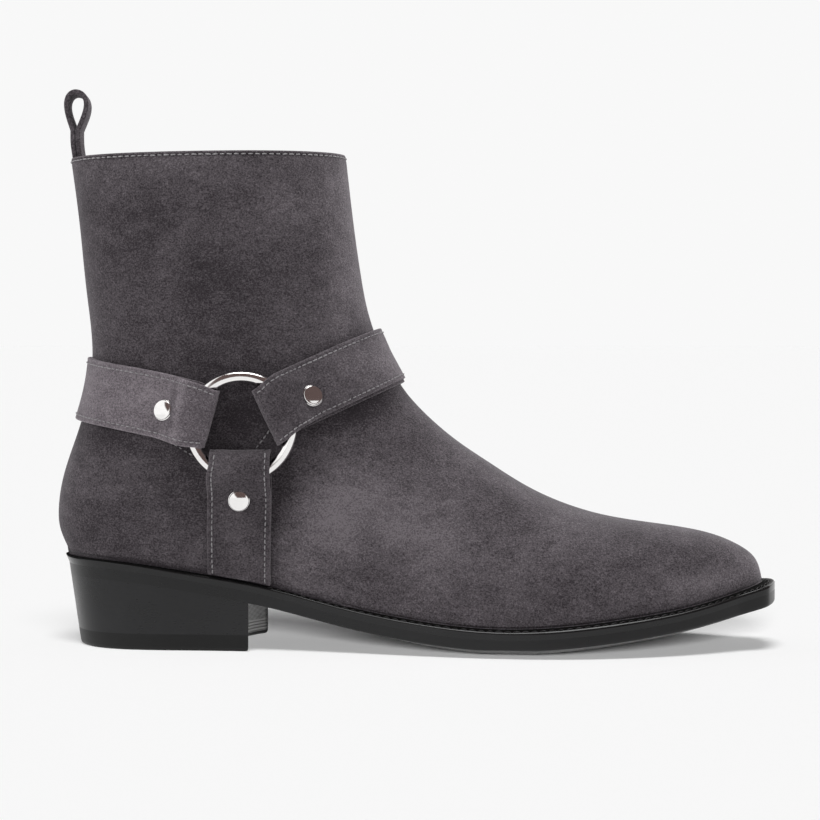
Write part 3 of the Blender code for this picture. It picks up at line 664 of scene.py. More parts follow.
@dataclass(frozen=True)
class Finish:
    """What every finish has: a name, and a material made of it."""

    name: str

    def make(self, effects: Effects) -> Material:
        """The finish as a material.

        Args:
            effects: the shared node groups.

        Returns:
            The material.
        """
        material = bpy.data.materials.new(self.name)
        material.use_nodes = True
        self.paint(Graph(material.node_tree), material.node_tree.nodes["Principled BSDF"], effects)
        return material

    @staticmethod
    def bump(graph: Graph, shader: Node, height: NodeSocket, strength: float, depth: float) -> None:
        """Gives a shader its relief."""
        node = graph.add("ShaderNodeBump", {"Height": height, "Strength": strength, "Distance": depth})
        graph.set(shader, {"Normal": node.outputs["Normal"]})

    def paint(self, graph: Graph, shader: Node, effects: Effects) -> None:
        """Sets up the material's shader, as each finish does in its own way."""
        raise NotImplementedError


@dataclass(frozen=True)
class Suede(Finish):
    """Napped leather, darker in its nap's lee and paler where it is brushed up, and with painted shade and
    highlight from the tone of each point.
    """

    dark: Colour = (0.0255, 0.0215, 0.0245)
    light: Colour = (0.170, 0.151, 0.164)
    gain: float = 1.0
    contrast: float = 0.46
    roughness: float = 0.95
    shine: float = 0.03
    sheen: float = 0.24
    sheen_roughness: float = 0.45
    sheen_tint: Colour = (0.86, 0.83, 0.86)
    relief: float = 0.5
    depth: float = 0.0006

    def paint(self, graph: Graph, shader: Node, effects: Effects) -> None:
        """Sets up the suede\'s shader. See Finish.paint."""
        tone = graph.add("ShaderNodeAttribute", attribute_name="tone").outputs["Fac"]
        dark, light = rgba(self.dark, self.gain), rgba(self.light, self.gain)
        nap = effects.use(Effect.NAP, graph, Dark=dark, Light=light, Contrast=self.contrast, Tone=tone)
        graph.set(shader, {
            "Base Color": nap.outputs["Color"], "Roughness": self.roughness,
            "Specular IOR Level": self.shine, "Sheen Weight": self.sheen,
            "Sheen Roughness": self.sheen_roughness, "Sheen Tint": rgba(self.sheen_tint),
        })
        self.bump(graph, shader, nap.outputs["Height"], self.relief, self.depth)


@dataclass(frozen=True)
class SmoothLeather(Finish):
    """Dyed leather with a fine grain, as in the lining and the insole."""

    colour: Colour = (0.02, 0.019, 0.019)
    roughness: float = 0.5
    grain: float = 1100.0
    relief: float = 0.25

    def paint(self, graph: Graph, shader: Node, effects: Effects) -> None:
        """Sets up the leather\'s shader. See Finish.paint."""
        grain = effects.use(Effect.GRAIN, graph, Scale=self.grain)
        tone = graph.math("ADD", grain.outputs["Tone"], 0.5)
        colour = graph.mix(tone, rgba(self.colour, 0.75), rgba(self.colour, 1.35))
        rough = graph.spread(tone, 0.0, 1.0, (self.roughness - 0.06, self.roughness + 0.08))
        graph.set(shader, {"Base Color": colour, "Roughness": rough})
        self.bump(graph, shader, grain.outputs["Height"], self.relief, 0.0002)


@dataclass(frozen=True)
class Burnished(Finish):
    """Inked and waxed sole leather or moulded rubber, with rubs and faint lines."""

    colour: Colour = (0.012, 0.012, 0.0125)
    roughness: float = 0.36
    spread: float = 0.12
    relief: float = 0.12
    shine: float = 0.5
    marks: float = 70.0
    layered: bool = False
    bare: Colour = (0.40, 0.396, 0.392)

    def paint(self, graph: Graph, shader: Node, effects: Effects) -> None:
        """Sets up the edge\'s shader. See Finish.paint."""
        marks = effects.use(Effect.HANDLING, graph, Scale=self.marks)
        mask = marks.outputs["Mask"]
        colour = graph.mix(mask, rgba(self.colour), rgba(self.colour, 1.5, 0.002))
        if self.layered:
            bare = graph.add("ShaderNodeAttribute", attribute_name="tone").outputs["Fac"]
            colour = graph.mix(bare, colour, rgba(self.bare))
        ends = (self.roughness - self.spread / 2, self.roughness + self.spread)
        rough = graph.spread(mask, 0.0, 1.0, ends)
        graph.set(shader, {"Base Color": colour, "Roughness": rough, "Specular IOR Level": self.shine})
        self.bump(graph, shader, marks.outputs["Height"], self.relief, 0.0001)


@dataclass(frozen=True)
class Plated(Finish):
    """Polished nickel plate with hair scratches."""

    colour: Colour = (0.93, 0.915, 0.905)
    roughness: float = 0.07
    marks: float = 160.0

    def paint(self, graph: Graph, shader: Node, effects: Effects) -> None:
        """Sets up the plate\'s shader. See Finish.paint."""
        marks = effects.use(Effect.HANDLING, graph, Scale=self.marks)
        colour = graph.mix(marks.outputs["Mask"], rgba(self.colour), rgba(self.colour, 0.9))
        rough = graph.spread(marks.outputs["Mask"], 0.0, 1.0, (self.roughness, self.roughness + 0.07))
        graph.set(shader, {"Metallic": 1.0, "Base Color": colour, "Roughness": rough})
        self.bump(graph, shader, marks.outputs["Height"], 0.03, 0.0001)


@dataclass(frozen=True)
class Thread(Finish):
    """Twisted sewing thread."""

    colour: Colour = (0.33, 0.315, 0.327)
    roughness: float = 0.6

    def paint(self, graph: Graph, shader: Node, effects: Effects) -> None:
        """Sets up the thread\'s shader. See Finish.paint."""
        place = graph.add("ShaderNodeTexCoord").outputs["Object"]
        twist = graph.noise(2600.0, place, 2.0)
        colour = graph.mix(graph.spread(twist, 0.35, 0.65), rgba(self.colour, 0.55), rgba(self.colour))
        graph.set(shader, {"Base Color": colour, "Roughness": self.roughness})
        self.bump(graph, shader, twist, 0.4, 0.0002)


class Wardrobe:
    """All finishes of the boot, each made a material once."""

    FINISHES = (
        Suede("suede_upper"),
        Suede("suede_back_strap", gain=2.1, contrast=0.34),
        Suede("suede_front_strap", gain=1.14, contrast=0.42),
        Suede("suede_lower_strap", gain=0.95, contrast=0.42),
        Suede("suede_pull_loop", gain=1.1, contrast=0.42),
        SmoothLeather("lining_leather", colour=(0.022, 0.021, 0.022), roughness=0.55),
        SmoothLeather("insole_leather", colour=(0.026, 0.024, 0.023), roughness=0.5, grain=1500.0),
        Burnished("sole_edge", colour=(0.0062, 0.0062, 0.0065), roughness=0.28, shine=0.32),
        Burnished("welt_leather", colour=(0.0062, 0.0062, 0.0065), roughness=0.17, spread=0.08, shine=0.36),
        # Rib under the suede's hem: black leather, made darker and matte as painted shade in the crease.
        Burnished("rib_leather", colour=(0.0030, 0.0030, 0.0030), roughness=0.80, relief=0.5, shine=0.05),
        Burnished(
            "heel_leather", colour=(0.0078, 0.0078, 0.0084), roughness=0.28, shine=0.34, layered=True
        ),
        Burnished(
            "heel_rubber", colour=(0.0062, 0.0062, 0.0062), roughness=0.42, relief=0.2, shine=0.26,
            layered=True,
        ),
        Plated("nickel_plate"),
        Thread("grey_thread"),
        Thread("black_thread", colour=(0.014, 0.014, 0.014), roughness=0.5),
    )

    def __init__(self) -> None:
        """Makes every finish."""
        effects = Effects()
        self.materials = {finish.name: finish.make(effects) for finish in self.FINISHES}

    def __getitem__(self, name: str) -> Material:
        """The material of that name."""
        return self.materials[name]


@dataclass
class Piece:
    """A mesh in the making: points in the last's frame, faces, and a tone for each point."""

    name: str
    points: list[Array] = field(default_factory=list)
    faces: list[Sequence[int]] = field(default_factory=list)
    tones: list[Array] = field(default_factory=list)
    count: int = 0

    def add(self, points: Array, faces: Sequence[Sequence[int]], tone: Array | float = 0.0) -> int:
        """Adds points and the faces between them.

        Args:
            points: any array whose last axis is x, y, z.
            faces: numbers of these points.
            tone: one value, or one for each point.

        Returns:
            The number of the first point added.
        """
        flat = np.asarray(points, float).reshape(-1, 3)
        first = self.count
        self.points.append(flat)
        each = np.asarray(tone, float).reshape(-1) if np.ndim(tone) else tone
        self.tones.append(np.broadcast_to(each, len(flat)))
        self.faces += [[first + int(i) for i in face] for face in faces]
        self.count += len(flat)
        return first

    def finish(
        self, material: Material, sharp: float = 40.0, turn_out: bool = True, wall: float = 0.0
    ) -> Object:
        """Makes the object in the row frame: doubles merged, faces outwards, shaded smooth.

        Args:
            material: its finish.
            sharp: degrees past which an edge is shaded sharp.
            turn_out: whether a closed form's faces are turned outwards.
            wall: thickness that an open sheet gets on its inner side.

        Returns:
            The object.
        """
        mesh = bpy.data.meshes.new(self.name)
        mesh.from_pydata(np.concatenate(self.points) + STEP, [], self.faces)
        tones = mesh.attributes.new("tone", "FLOAT", "POINT")
        tones.data.foreach_set("value", np.concatenate(self.tones).astype(np.float32))
        shape = bmesh.new()
        shape.from_mesh(mesh)
        bmesh.ops.remove_doubles(shape, verts=shape.verts, dist=WELD)
        bmesh.ops.dissolve_degenerate(shape, edges=shape.edges, dist=WELD)
        if turn_out:
            bmesh.ops.recalc_face_normals(shape, faces=shape.faces)
        shape.to_mesh(mesh)
        shape.free()
        obj = bpy.data.objects.new(self.name, mesh)
        bpy.context.scene.collection.objects.link(obj)
        mesh.materials.append(material)
        if wall:
            self.thicken(obj, wall)
        obj.data.shade_smooth()
        obj.data.set_sharp_from_angle(angle=math.radians(sharp))
        return obj

    @staticmethod
    def thicken(obj: Object, wall: float) -> None:
        """Gives an open sheet its wall.

        Args:
            obj: the sheet.
            wall: thickness on its inner side.
        """
        solid = obj.modifiers.new("wall", "SOLIDIFY")
        solid.thickness = wall
        solid.offset = -1.0
        plain = plain_mesh(obj)
        obj.modifiers.clear()
        obj.data = plain


def plain_mesh(obj: Object) -> Mesh:
    """An object's mesh with its modifiers applied.

    Args:
        obj: the object.

    Returns:
        A new mesh.
    """
    bpy.context.view_layer.update()
    graph = bpy.context.evaluated_depsgraph_get()
    return bpy.data.meshes.new_from_object(obj.evaluated_get(graph))


def dress(obj: Object, slot: str | None = None, *nodes: str) -> Object:
    """Puts a piece on the boot's body and in place of the solids that it stands for.

    Args:
        obj: the piece.
        slot: not used.
        nodes: the solids that it replaces.

    Returns:
        The piece.
    """
    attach(obj, BODY)
    if nodes:
        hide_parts(*nodes)
    LOG.info("%s: %d faces", obj.name, len(obj.data.polygons))
    return obj


class SeamPath(NamedTuple):
    """A line of points on a surface, with the surface's outward direction at each."""

    points: Array
    ups: Array | None = None
    closed: bool = False

    def edges(self, first: int = 0) -> list[tuple[int, int]]:
        """The pairs of points that the line joins, where its own points are counted from a first number."""
        count = len(self.points)
        return [(first + i, first + (i + 1) % count) for i in range(count if self.closed else count - 1)]


def grow(name: str, guide: Mesh, tree: NodeTree, sizes: dict[str, Any]) -> Object:
    """Makes a piece with a Geometry Nodes tree.

    Args:
        name: the piece's name.
        guide: the mesh that the tree starts from.
        tree: the tree.
        sizes: its inputs by name.

    Returns:
        The piece, a plain mesh.
    """
    start = bpy.data.objects.new(guide.name, guide)
    bpy.context.scene.collection.objects.link(start)
    maker = start.modifiers.new(tree.name, "NODES")
    maker.node_group = tree
    sockets = {item.name: item.identifier for item in tree.interface.items_tree if item.in_out == "INPUT"}
    for label, value in sizes.items():
        maker[sockets[label]] = value
    piece = bpy.data.objects.new(name, plain_mesh(start))
    bpy.data.objects.remove(start)
    bpy.context.scene.collection.objects.link(piece)
    return piece


@dataclass
class TurnedForm:
    """A form turned about an axis, such as a rivet's cap or a wire ring, made with Geometry Nodes."""

    bore: float = 1e-6
    tree: NodeTree = field(init=False)

    def __post_init__(self) -> None:
        """Builds the tree that turns a profile about an axis and sets the form in its place."""
        sizes = {"Segments": "Int", "Bore": "Float", "Place": "Vector", "Up": "Vector"}
        inputs = {"Profile": "Geometry", **sizes, "Material": "Material"}
        graph, given, out = node_group("turned_form", inputs, {"Form": "Geometry"}, "GeometryNodeTree")
        self.tree = graph.tree
        size = given.outputs
        profile = graph.out("GeometryNodeMeshToCurve", {"Mesh": size["Profile"]})
        inputs = {"Resolution": size["Segments"], "Radius": size["Bore"]}
        round_ = graph.out("GeometryNodeCurvePrimitiveCircle", inputs)
        inputs = {"Curve": round_, "Profile Curve": profile}
        turned = graph.out("GeometryNodeCurveToMesh", inputs)
        inputs = {"Geometry": turned, "Distance": graph.math("MULTIPLY", size["Bore"], 4.0)}
        closed = graph.out("GeometryNodeMergeByDistance", inputs)
        inputs = {0: size["Up"], 1: (0.0, 0.0, 1.0)}
        turn = graph.out("FunctionNodeAxesToRotation", inputs, primary_axis="Z", secondary_axis="X")
        spot = graph.out("GeometryNodePoints", {"Count": 1, "Position": size["Place"]})
        inputs = {"Points": spot, "Instance": closed, "Rotation": turn}
        placed = graph.out("GeometryNodeInstanceOnPoints", inputs)
        real = graph.out("GeometryNodeRealizeInstances", {"Geometry": placed})
        inputs = {"Geometry": real, "Material": size["Material"]}
        done = graph.out("GeometryNodeSetMaterial", inputs)
        graph.set(out, {"Form": done})

    def turn(
        self, name: str, profile: SeamPath, foot: Array, up: Array, segments: int, sharp: float,
        material: Material,
    ) -> Object:
        """Turns a profile.

        Args:
            name: the new piece's name.
            profile: points of (out, down), from the axis on top round to the axis below, or closed.
            foot: where the axis starts.
            up: the axis.
            segments: points round it.
            sharp: degrees past which an edge is shaded sharp.
            material: its finish.

        Returns:
            The form as one piece.
        """
        guide = bpy.data.meshes.new(name + "_profile")
        guide.from_pydata(np.pad(profile.points, ((0, 0), (0, 1))), profile.edges(), [])
        sizes = {"Segments": segments, "Bore": self.bore, "Place": tuple(map(float, foot + STEP))}
        piece = grow(name, guide, self.tree, {**sizes, "Up": tuple(map(float, up)), "Material": material})
        piece.data.shade_smooth()
        piece.data.set_sharp_from_angle(angle=math.radians(sharp))
        return piece


@dataclass
class StitchRow:
    """A row of stitches along a path on a surface, made with Geometry Nodes."""

    pitch: float = 0.0024
    length: float = 0.0017
    thread: float = 0.00029
    bow: float = 0.00034
    sunk: float = 0.00032
    seed: int = 7
    tree: NodeTree = field(init=False)

    def __post_init__(self) -> None:
        """Builds the tree that lays stitches along a path."""
        sizes = {"Pitch": "Float", "Length": "Float", "Thread": "Float", "Bow": "Float", "Sunk": "Float"}
        inputs = {"Path": "Geometry", **sizes, "Material": "Material", "Seed": "Int"}
        graph, given, out = node_group("stitch_row", inputs, {"Stitches": "Geometry"}, "GeometryNodeTree")
        self.tree = graph.tree
        size = given.outputs
        curve = graph.out("GeometryNodeMeshToCurve", {"Mesh": size["Path"]})
        inputs = {"Curve": curve, "Length": size["Pitch"]}
        path = graph.out("GeometryNodeResampleCurve", inputs, mode="LENGTH")
        half = graph.math("MULTIPLY", size["Length"], 0.5)
        low = graph.math("MULTIPLY", size["Sunk"], -1.0)
        high = graph.math("ADD", graph.math("MULTIPLY", size["Bow"], 2.0), size["Sunk"])
        back = graph.math("MULTIPLY", half, -1.0)
        ends = {"Start": (back, low), "Middle": (0.0, high), "End": (half, low)}
        inputs = {
            name: graph.out("ShaderNodeCombineXYZ", {"X": x, "Z": z})
            for name, (x, z) in ends.items()
        }
        bow = graph.out("GeometryNodeCurveQuadraticBezier", {"Resolution": 6, **inputs})
        round_ = graph.out("GeometryNodeCurvePrimitiveCircle", {"Resolution": 6, "Radius": size["Thread"]})
        inputs = {"Curve": bow, "Profile Curve": round_, "Fill Caps": True}
        stitch = graph.out("GeometryNodeCurveToMesh", inputs)
        soft = graph.out("GeometryNodeSetShadeSmooth", {"Geometry": stitch})
        up = graph.out("GeometryNodeInputNamedAttribute", {"Name": "up"}, data_type="FLOAT_VECTOR")
        inputs = {0: (-0.1, -0.1, -0.1), 1: (0.1, 0.1, 0.1), "Seed": size["Seed"]}
        sway = graph.out("FunctionNodeRandomValue", inputs, data_type="FLOAT_VECTOR")
        tangent = graph.out("GeometryNodeInputTangent")
        ahead = graph.out("ShaderNodeVectorMath", {0: tangent, 1: sway})
        inputs = {0: up, 1: ahead}
        turn = graph.out("FunctionNodeAxesToRotation", inputs, primary_axis="Z", secondary_axis="X")
        inputs = {2: 0.82, 3: 1.1, "Seed": size["Seed"]}
        scale = graph.add("FunctionNodeRandomValue", inputs, data_type="FLOAT")
        inputs = {"Points": path, "Instance": soft, "Rotation": turn}
        laid = graph.out("GeometryNodeInstanceOnPoints", {**inputs, "Scale": scale.outputs[1]})
        real = graph.out("GeometryNodeRealizeInstances", {"Geometry": laid})
        inputs = {"Geometry": real, "Material": size["Material"]}
        done = graph.out("GeometryNodeSetMaterial", inputs)
        graph.set(out, {"Stitches": done})

    def sew(self, name: str, paths: Sequence[SeamPath], material: Material, **sizes: float) -> Object:
        """Lays stitches along paths.

        Args:
            name: the new piece's name.
            paths: where the stitches run.
            material: the thread.
            sizes: sizes that differ from this row's own, by field name.

        Returns:
            The stitches as one piece.
        """
        guide = bpy.data.meshes.new(name + "_path")
        edges: list[tuple[int, int]] = []
        first = 0
        for path in paths:
            edges += path.edges(first)
            first += len(path.points)
        guide.from_pydata(np.concatenate([path.points for path in paths]) + STEP, edges, [])
        ups = np.concatenate([path.ups for path in paths]).astype(np.float32)
        guide.attributes.new("up", "FLOAT_VECTOR", "POINT").data.foreach_set("vector", ups.ravel())
        keys = ("pitch", "length", "thread", "bow", "sunk", "seed")
        values = {key.capitalize(): sizes.get(key, getattr(self, key)) for key in keys}
        return grow(name, guide, self.tree, {**values, "Material": material})


class NapStroke(NamedTuple):
    """A patch of tone in the side view, for brushed nap and for painted shade and highlight: place, half
    sizes, turn in degrees, gain.
    """

    x: float
    z: float
    long: float
    wide: float
    turn: float
    gain: float


def brushed(points: Array, strokes: Sequence[NapStroke]) -> Array:
    """The tone at points from nap patches and from painted shade and highlight.

    Args:
        points: where.
        strokes: the patches of nap and of painted shade and highlight.

    Returns:
        Tones, 0 for plain nap.
    """
    tone = np.zeros(points.shape[:-1])
    for stroke in strokes:
        turn = math.radians(stroke.turn)
        dx, dz = points[..., 0] - stroke.x, points[..., 2] - stroke.z
        u = (dx * math.cos(turn) + dz * math.sin(turn)) / stroke.long
        v = (dz * math.cos(turn) - dx * math.sin(turn)) / stroke.wide
        tone = tone + stroke.gain * np.exp(-(u * u + v * v))
    return tone


class Crease(NamedTuple):
    """A soft trough or ridge on the upper in the side view, from one point to another."""

    x0: float
    z0: float
    x1: float
    z1: float
    width: float
    depth: float


@dataclass
class Upper:
    """Foot and shaft in suede with their lining, seams and collar stitching."""

    last: Last
    wardrobe: Wardrobe
    sections_per_row: int = 10
    arch_steps: int = 84
    suede: float = 0.00115
    lining_gap: float = 0.00120
    lining: float = 0.0007
    lining_sections: int = 5
    lining_steps: int = 40
    lining_top: float = 19.97
    collar_seam: float = 0.0015
    back_seam_depth: float = 0.00035
    back_seam_soft: float = 0.0007
    back_from: float = 0.75
    collar_groove: float = 0.00026
    groove_soft: float = 0.0006
    groove_shade: float = 0.40
    collar_round: float = 0.00030
    round_soft: float = 0.0004
    rim_shine: float = 0.2
    hem: tuple[tuple[Inset, float], ...] = ((HEM, 0.0012), (TUCK, 0.0002))
    hem_shade: float = 0.5
    close_rows: float = 0.6
    crease_bow: float = 0.12
    crease_ease: float = 0.35
    # Patches of brushed nap; the last five rows are painted shade inside the ring and under and beside the
    # straps.
    strokes: tuple[NapStroke, ...] = tuple(NapStroke(*row) for row in (
        (0.120, 0.150, 0.030, 0.008, 84, 0.20), (0.110, 0.182, 0.020, 0.010, 20, 0.14),
        (0.060, 0.200, 0.045, 0.008, 2, 0.12), (0.055, 0.150, 0.050, 0.040, 70, -0.10),
        (0.085, 0.125, 0.030, 0.016, 0, -0.08), (0.116, 0.053, 0.022, 0.015, 50, 0.38),
        (0.155, 0.051, 0.026, 0.018, -20, 0.28), (0.186, 0.066, 0.014, 0.010, -60, -0.10),
        (0.212, 0.037, 0.030, 0.012, -15, -0.02), (0.258, 0.040, 0.024, 0.010, -12, -0.06),
        (0.200, 0.050, 0.075, 0.025, -10, 0.05), (0.277, 0.030, 0.022, 0.006, 10, 0.36),
        (0.030, 0.072, 0.014, 0.008, 30, 0.08), (0.035, 0.060, 0.040, 0.020, 0, -0.07),
        (0.012, 0.052, 0.020, 0.010, 80, -0.06), (0.081, 0.096, 0.012, 0.012, 0, -0.42),
        (0.125, 0.099, 0.024, 0.006, 25, -0.44), (0.026, 0.088, 0.032, 0.005, -11, -0.20),
        (0.098, 0.070, 0.020, 0.007, 85, -0.34), (0.062, 0.074, 0.014, 0.008, 90, -0.20),
    ))
    creases: tuple[Crease, ...] = tuple(Crease(*row) for row in (
        (0.150, 0.088, 0.118, 0.055, 0.008, -0.00045), (0.168, 0.080, 0.140, 0.040, 0.009, 0.00035),
        (0.196, 0.064, 0.176, 0.030, 0.007, -0.00040), (0.210, 0.058, 0.192, 0.026, 0.008, 0.00025),
        (0.118, 0.175, 0.060, 0.140, 0.016, -0.00050), (0.112, 0.140, 0.030, 0.165, 0.018, 0.00040),
    ))

    def shape(self, rows: Array, across: Array) -> Pair:
        """The upper's face with its seams, creases and stitch troughs.

        Args:
            rows: places in the table of sections.
            across: from the lateral to the medial lower edge.

        Returns:
            Its points and its outward normals.
        """
        points = self.last.upper(rows, across)
        normals = grid_normals(points)
        outward = np.sign(np.sum(normals[:, :, 1] * points[:, :, 1]))
        normals = normals * outward
        below = run_lengths(points[::-1])[::-1]
        raised = -self.collar_groove * bell(below - self.collar_seam, self.groove_soft)
        raised = raised - self.collar_round * bell(below, self.round_soft)
        back = (self.last.form["edge"](rows) >= 1)[:, None] & (np.abs(across) > self.back_from)[None, :]
        seam = self.back_seam_depth * bell(points[:, :, 1], self.back_seam_soft)
        raised = raised - np.where(back, seam, 0.0)
        for crease in self.creases:
            raised = raised + crease.depth * self.along_line(points, crease)
        return points + normals * raised[:, :, None], normals

    def along_line(self, points: Array, crease: Crease) -> Array:
        """How strongly a crease shows at points.

        Args:
            points: where.
            crease: which crease.

        Returns:
            Shares from 0 to 1.
        """
        start = np.array((crease.x0, crease.z0))
        run = np.array((crease.x1, crease.z1)) - start
        length = float(np.hypot(*run))
        away = points[:, :, (0, 2)] - start
        on = away @ run / length**2
        off = (away[:, :, 0] * run[1] - away[:, :, 1] * run[0]) / length
        bowed = off + self.crease_bow * length * (4 * on * (1 - on))
        near, far = smooth(on / self.crease_ease), smooth((1 - on) / self.crease_ease)
        return bell(bowed, crease.width) * near * far

    def sheet(
        self, name: str, per_row: int, steps: int, inward: float = 0.0, top: float = TOP_ROW
    ) -> Piece:
        """The upper's face as a sheet, its lower edge tucked in over the welt.

        Args:
            name: the piece's name.
            per_row: sections for each row of the table.
            steps: points from the lower edge to the ridge.
            inward: how far the sheet lies inside the outer face.
            top: the row where it ends at the collar.

        Returns:
            The sheet.
        """
        close = 1 - np.linspace(1.0, 0.0, 3 * per_row + 1)[1:] ** 2
        even = top - self.close_rows
        rows = np.linspace(0.0, even, round(top) * per_row + 1)
        rows = np.concatenate((rows, even + self.close_rows * close))
        across = np.linspace(-1.0, 1.0, 2 * steps + 1)
        points, normals = self.shape(rows, across)
        points[0], normals[0] = points[0].mean(axis=0), (1.0, 0.0, 0.0)
        points = points - normals * inward
        piece = Piece(name)
        columns = len(across)
        below = run_lengths(points[::-1])[::-1]
        seam, rim = (bell(below - at, self.groove_soft) for at in (self.collar_seam, 0.0))
        # Tone: nap patches with painted shade by the straps and in the ring, painted shade in the collar's
        # stitch groove, and a lighter collar rim.
        tone = brushed(points, self.strokes) - self.groove_shade * seam + self.rim_shine * rim
        piece.add(points, grid_faces(len(rows), columns), tone)
        skirt_rows = rows[: np.searchsorted(rows, HEEL_ROW + WELD)]
        along = np.clip(1 - self.last.form["edge"](skirt_rows), 0.0, 1.0)
        for side, column in ((Side.LATERAL, 0), (Side.MEDIAL, columns - 1)):
            strip = [points[: len(along), column]]
            for inset, rise in self.hem:
                x, y = self.last.outline(along, side, inset)
                y = y - side * np.minimum(inward, np.abs(y))
                height = self.last.sole_top(x) + rise
                strip.append(joined(x, y, np.minimum(height, strip[-1][:, 2])))
            faces = grid_faces(len(along), 3)
            strip = np.stack(strip, axis=1)
            # Nap patches with painted shade by the straps, and painted shade where the hem tucks in over the
            # welt.
            tone = brushed(strip, self.strokes) + np.array((0.0, -self.hem_shade, -self.hem_shade))
            piece.add(strip, faces if side is Side.LATERAL else faces[:, ::-1], tone)
        return piece

    def build(self) -> None:
        """Builds the suede and the lining."""
        sheet = self.sheet("upper_suede", self.sections_per_row, self.arch_steps)
        suede = sheet.finish(self.wardrobe["suede_upper"], sharp=60, turn_out=False, wall=self.suede)
        dress(suede, "suede", "upper")
        sizes = (self.lining_sections, self.lining_steps, self.lining_gap, self.lining_top)
        inner = self.sheet("upper_lining", *sizes)
        lining = inner.finish(self.wardrobe["lining_leather"], sharp=60, turn_out=False, wall=self.lining)
        dress(lining, "insole")

    def collar_path(self) -> SeamPath:
        """The stitch line below the collar."""
        rows, across = np.linspace(TOP_ROW - 2, TOP_ROW, 81), np.linspace(-1.0, 1.0, 401)
        grid = np.concatenate(self.shape(rows, across), axis=-1)[::-1]
        below = run_lengths(grid[:, :, :3])
        line = np.array([
            [np.interp(self.collar_seam, below[:, j], grid[:, j, axis]) for axis in range(6)]
            for j in range(len(across) - 1)
        ])
        return SeamPath(line[:, :3], unit(line[:, 3:]), True)


class StrapRow(NamedTuple):
    """A strap that leaves a ring, in the side view: angle, distances from the ring's centre, course.

    The course is the middle line's distance from the ring's spoke: at the fold, past it, and what
    the bow adds further on. Half widths are at the fold and past it. Trim is how much narrower the
    top layer is cut along its first edge, so that the layer below shows.
    """

    name: str
    angle: float
    fold: float
    stud: float
    stud_off: float
    start: float
    past: float
    bow: float
    near_half: float
    far_half: float
    wraps: bool
    stud_lean: tuple[float, float] = (0.0, 0.0)
    trim: float = 0.0


class Station(NamedTuple):
    """A place along a strap: share of its line, offset, distance from the fold, nearest ring."""

    share: float
    offset: float
    fold: float
    side: Side


class Run(NamedTuple):
    """A strap on the upper: its row, the upper's cuts along it, and its stations."""

    row: StrapRow
    lines: Sequence[Array]
    places: Sequence[Station]


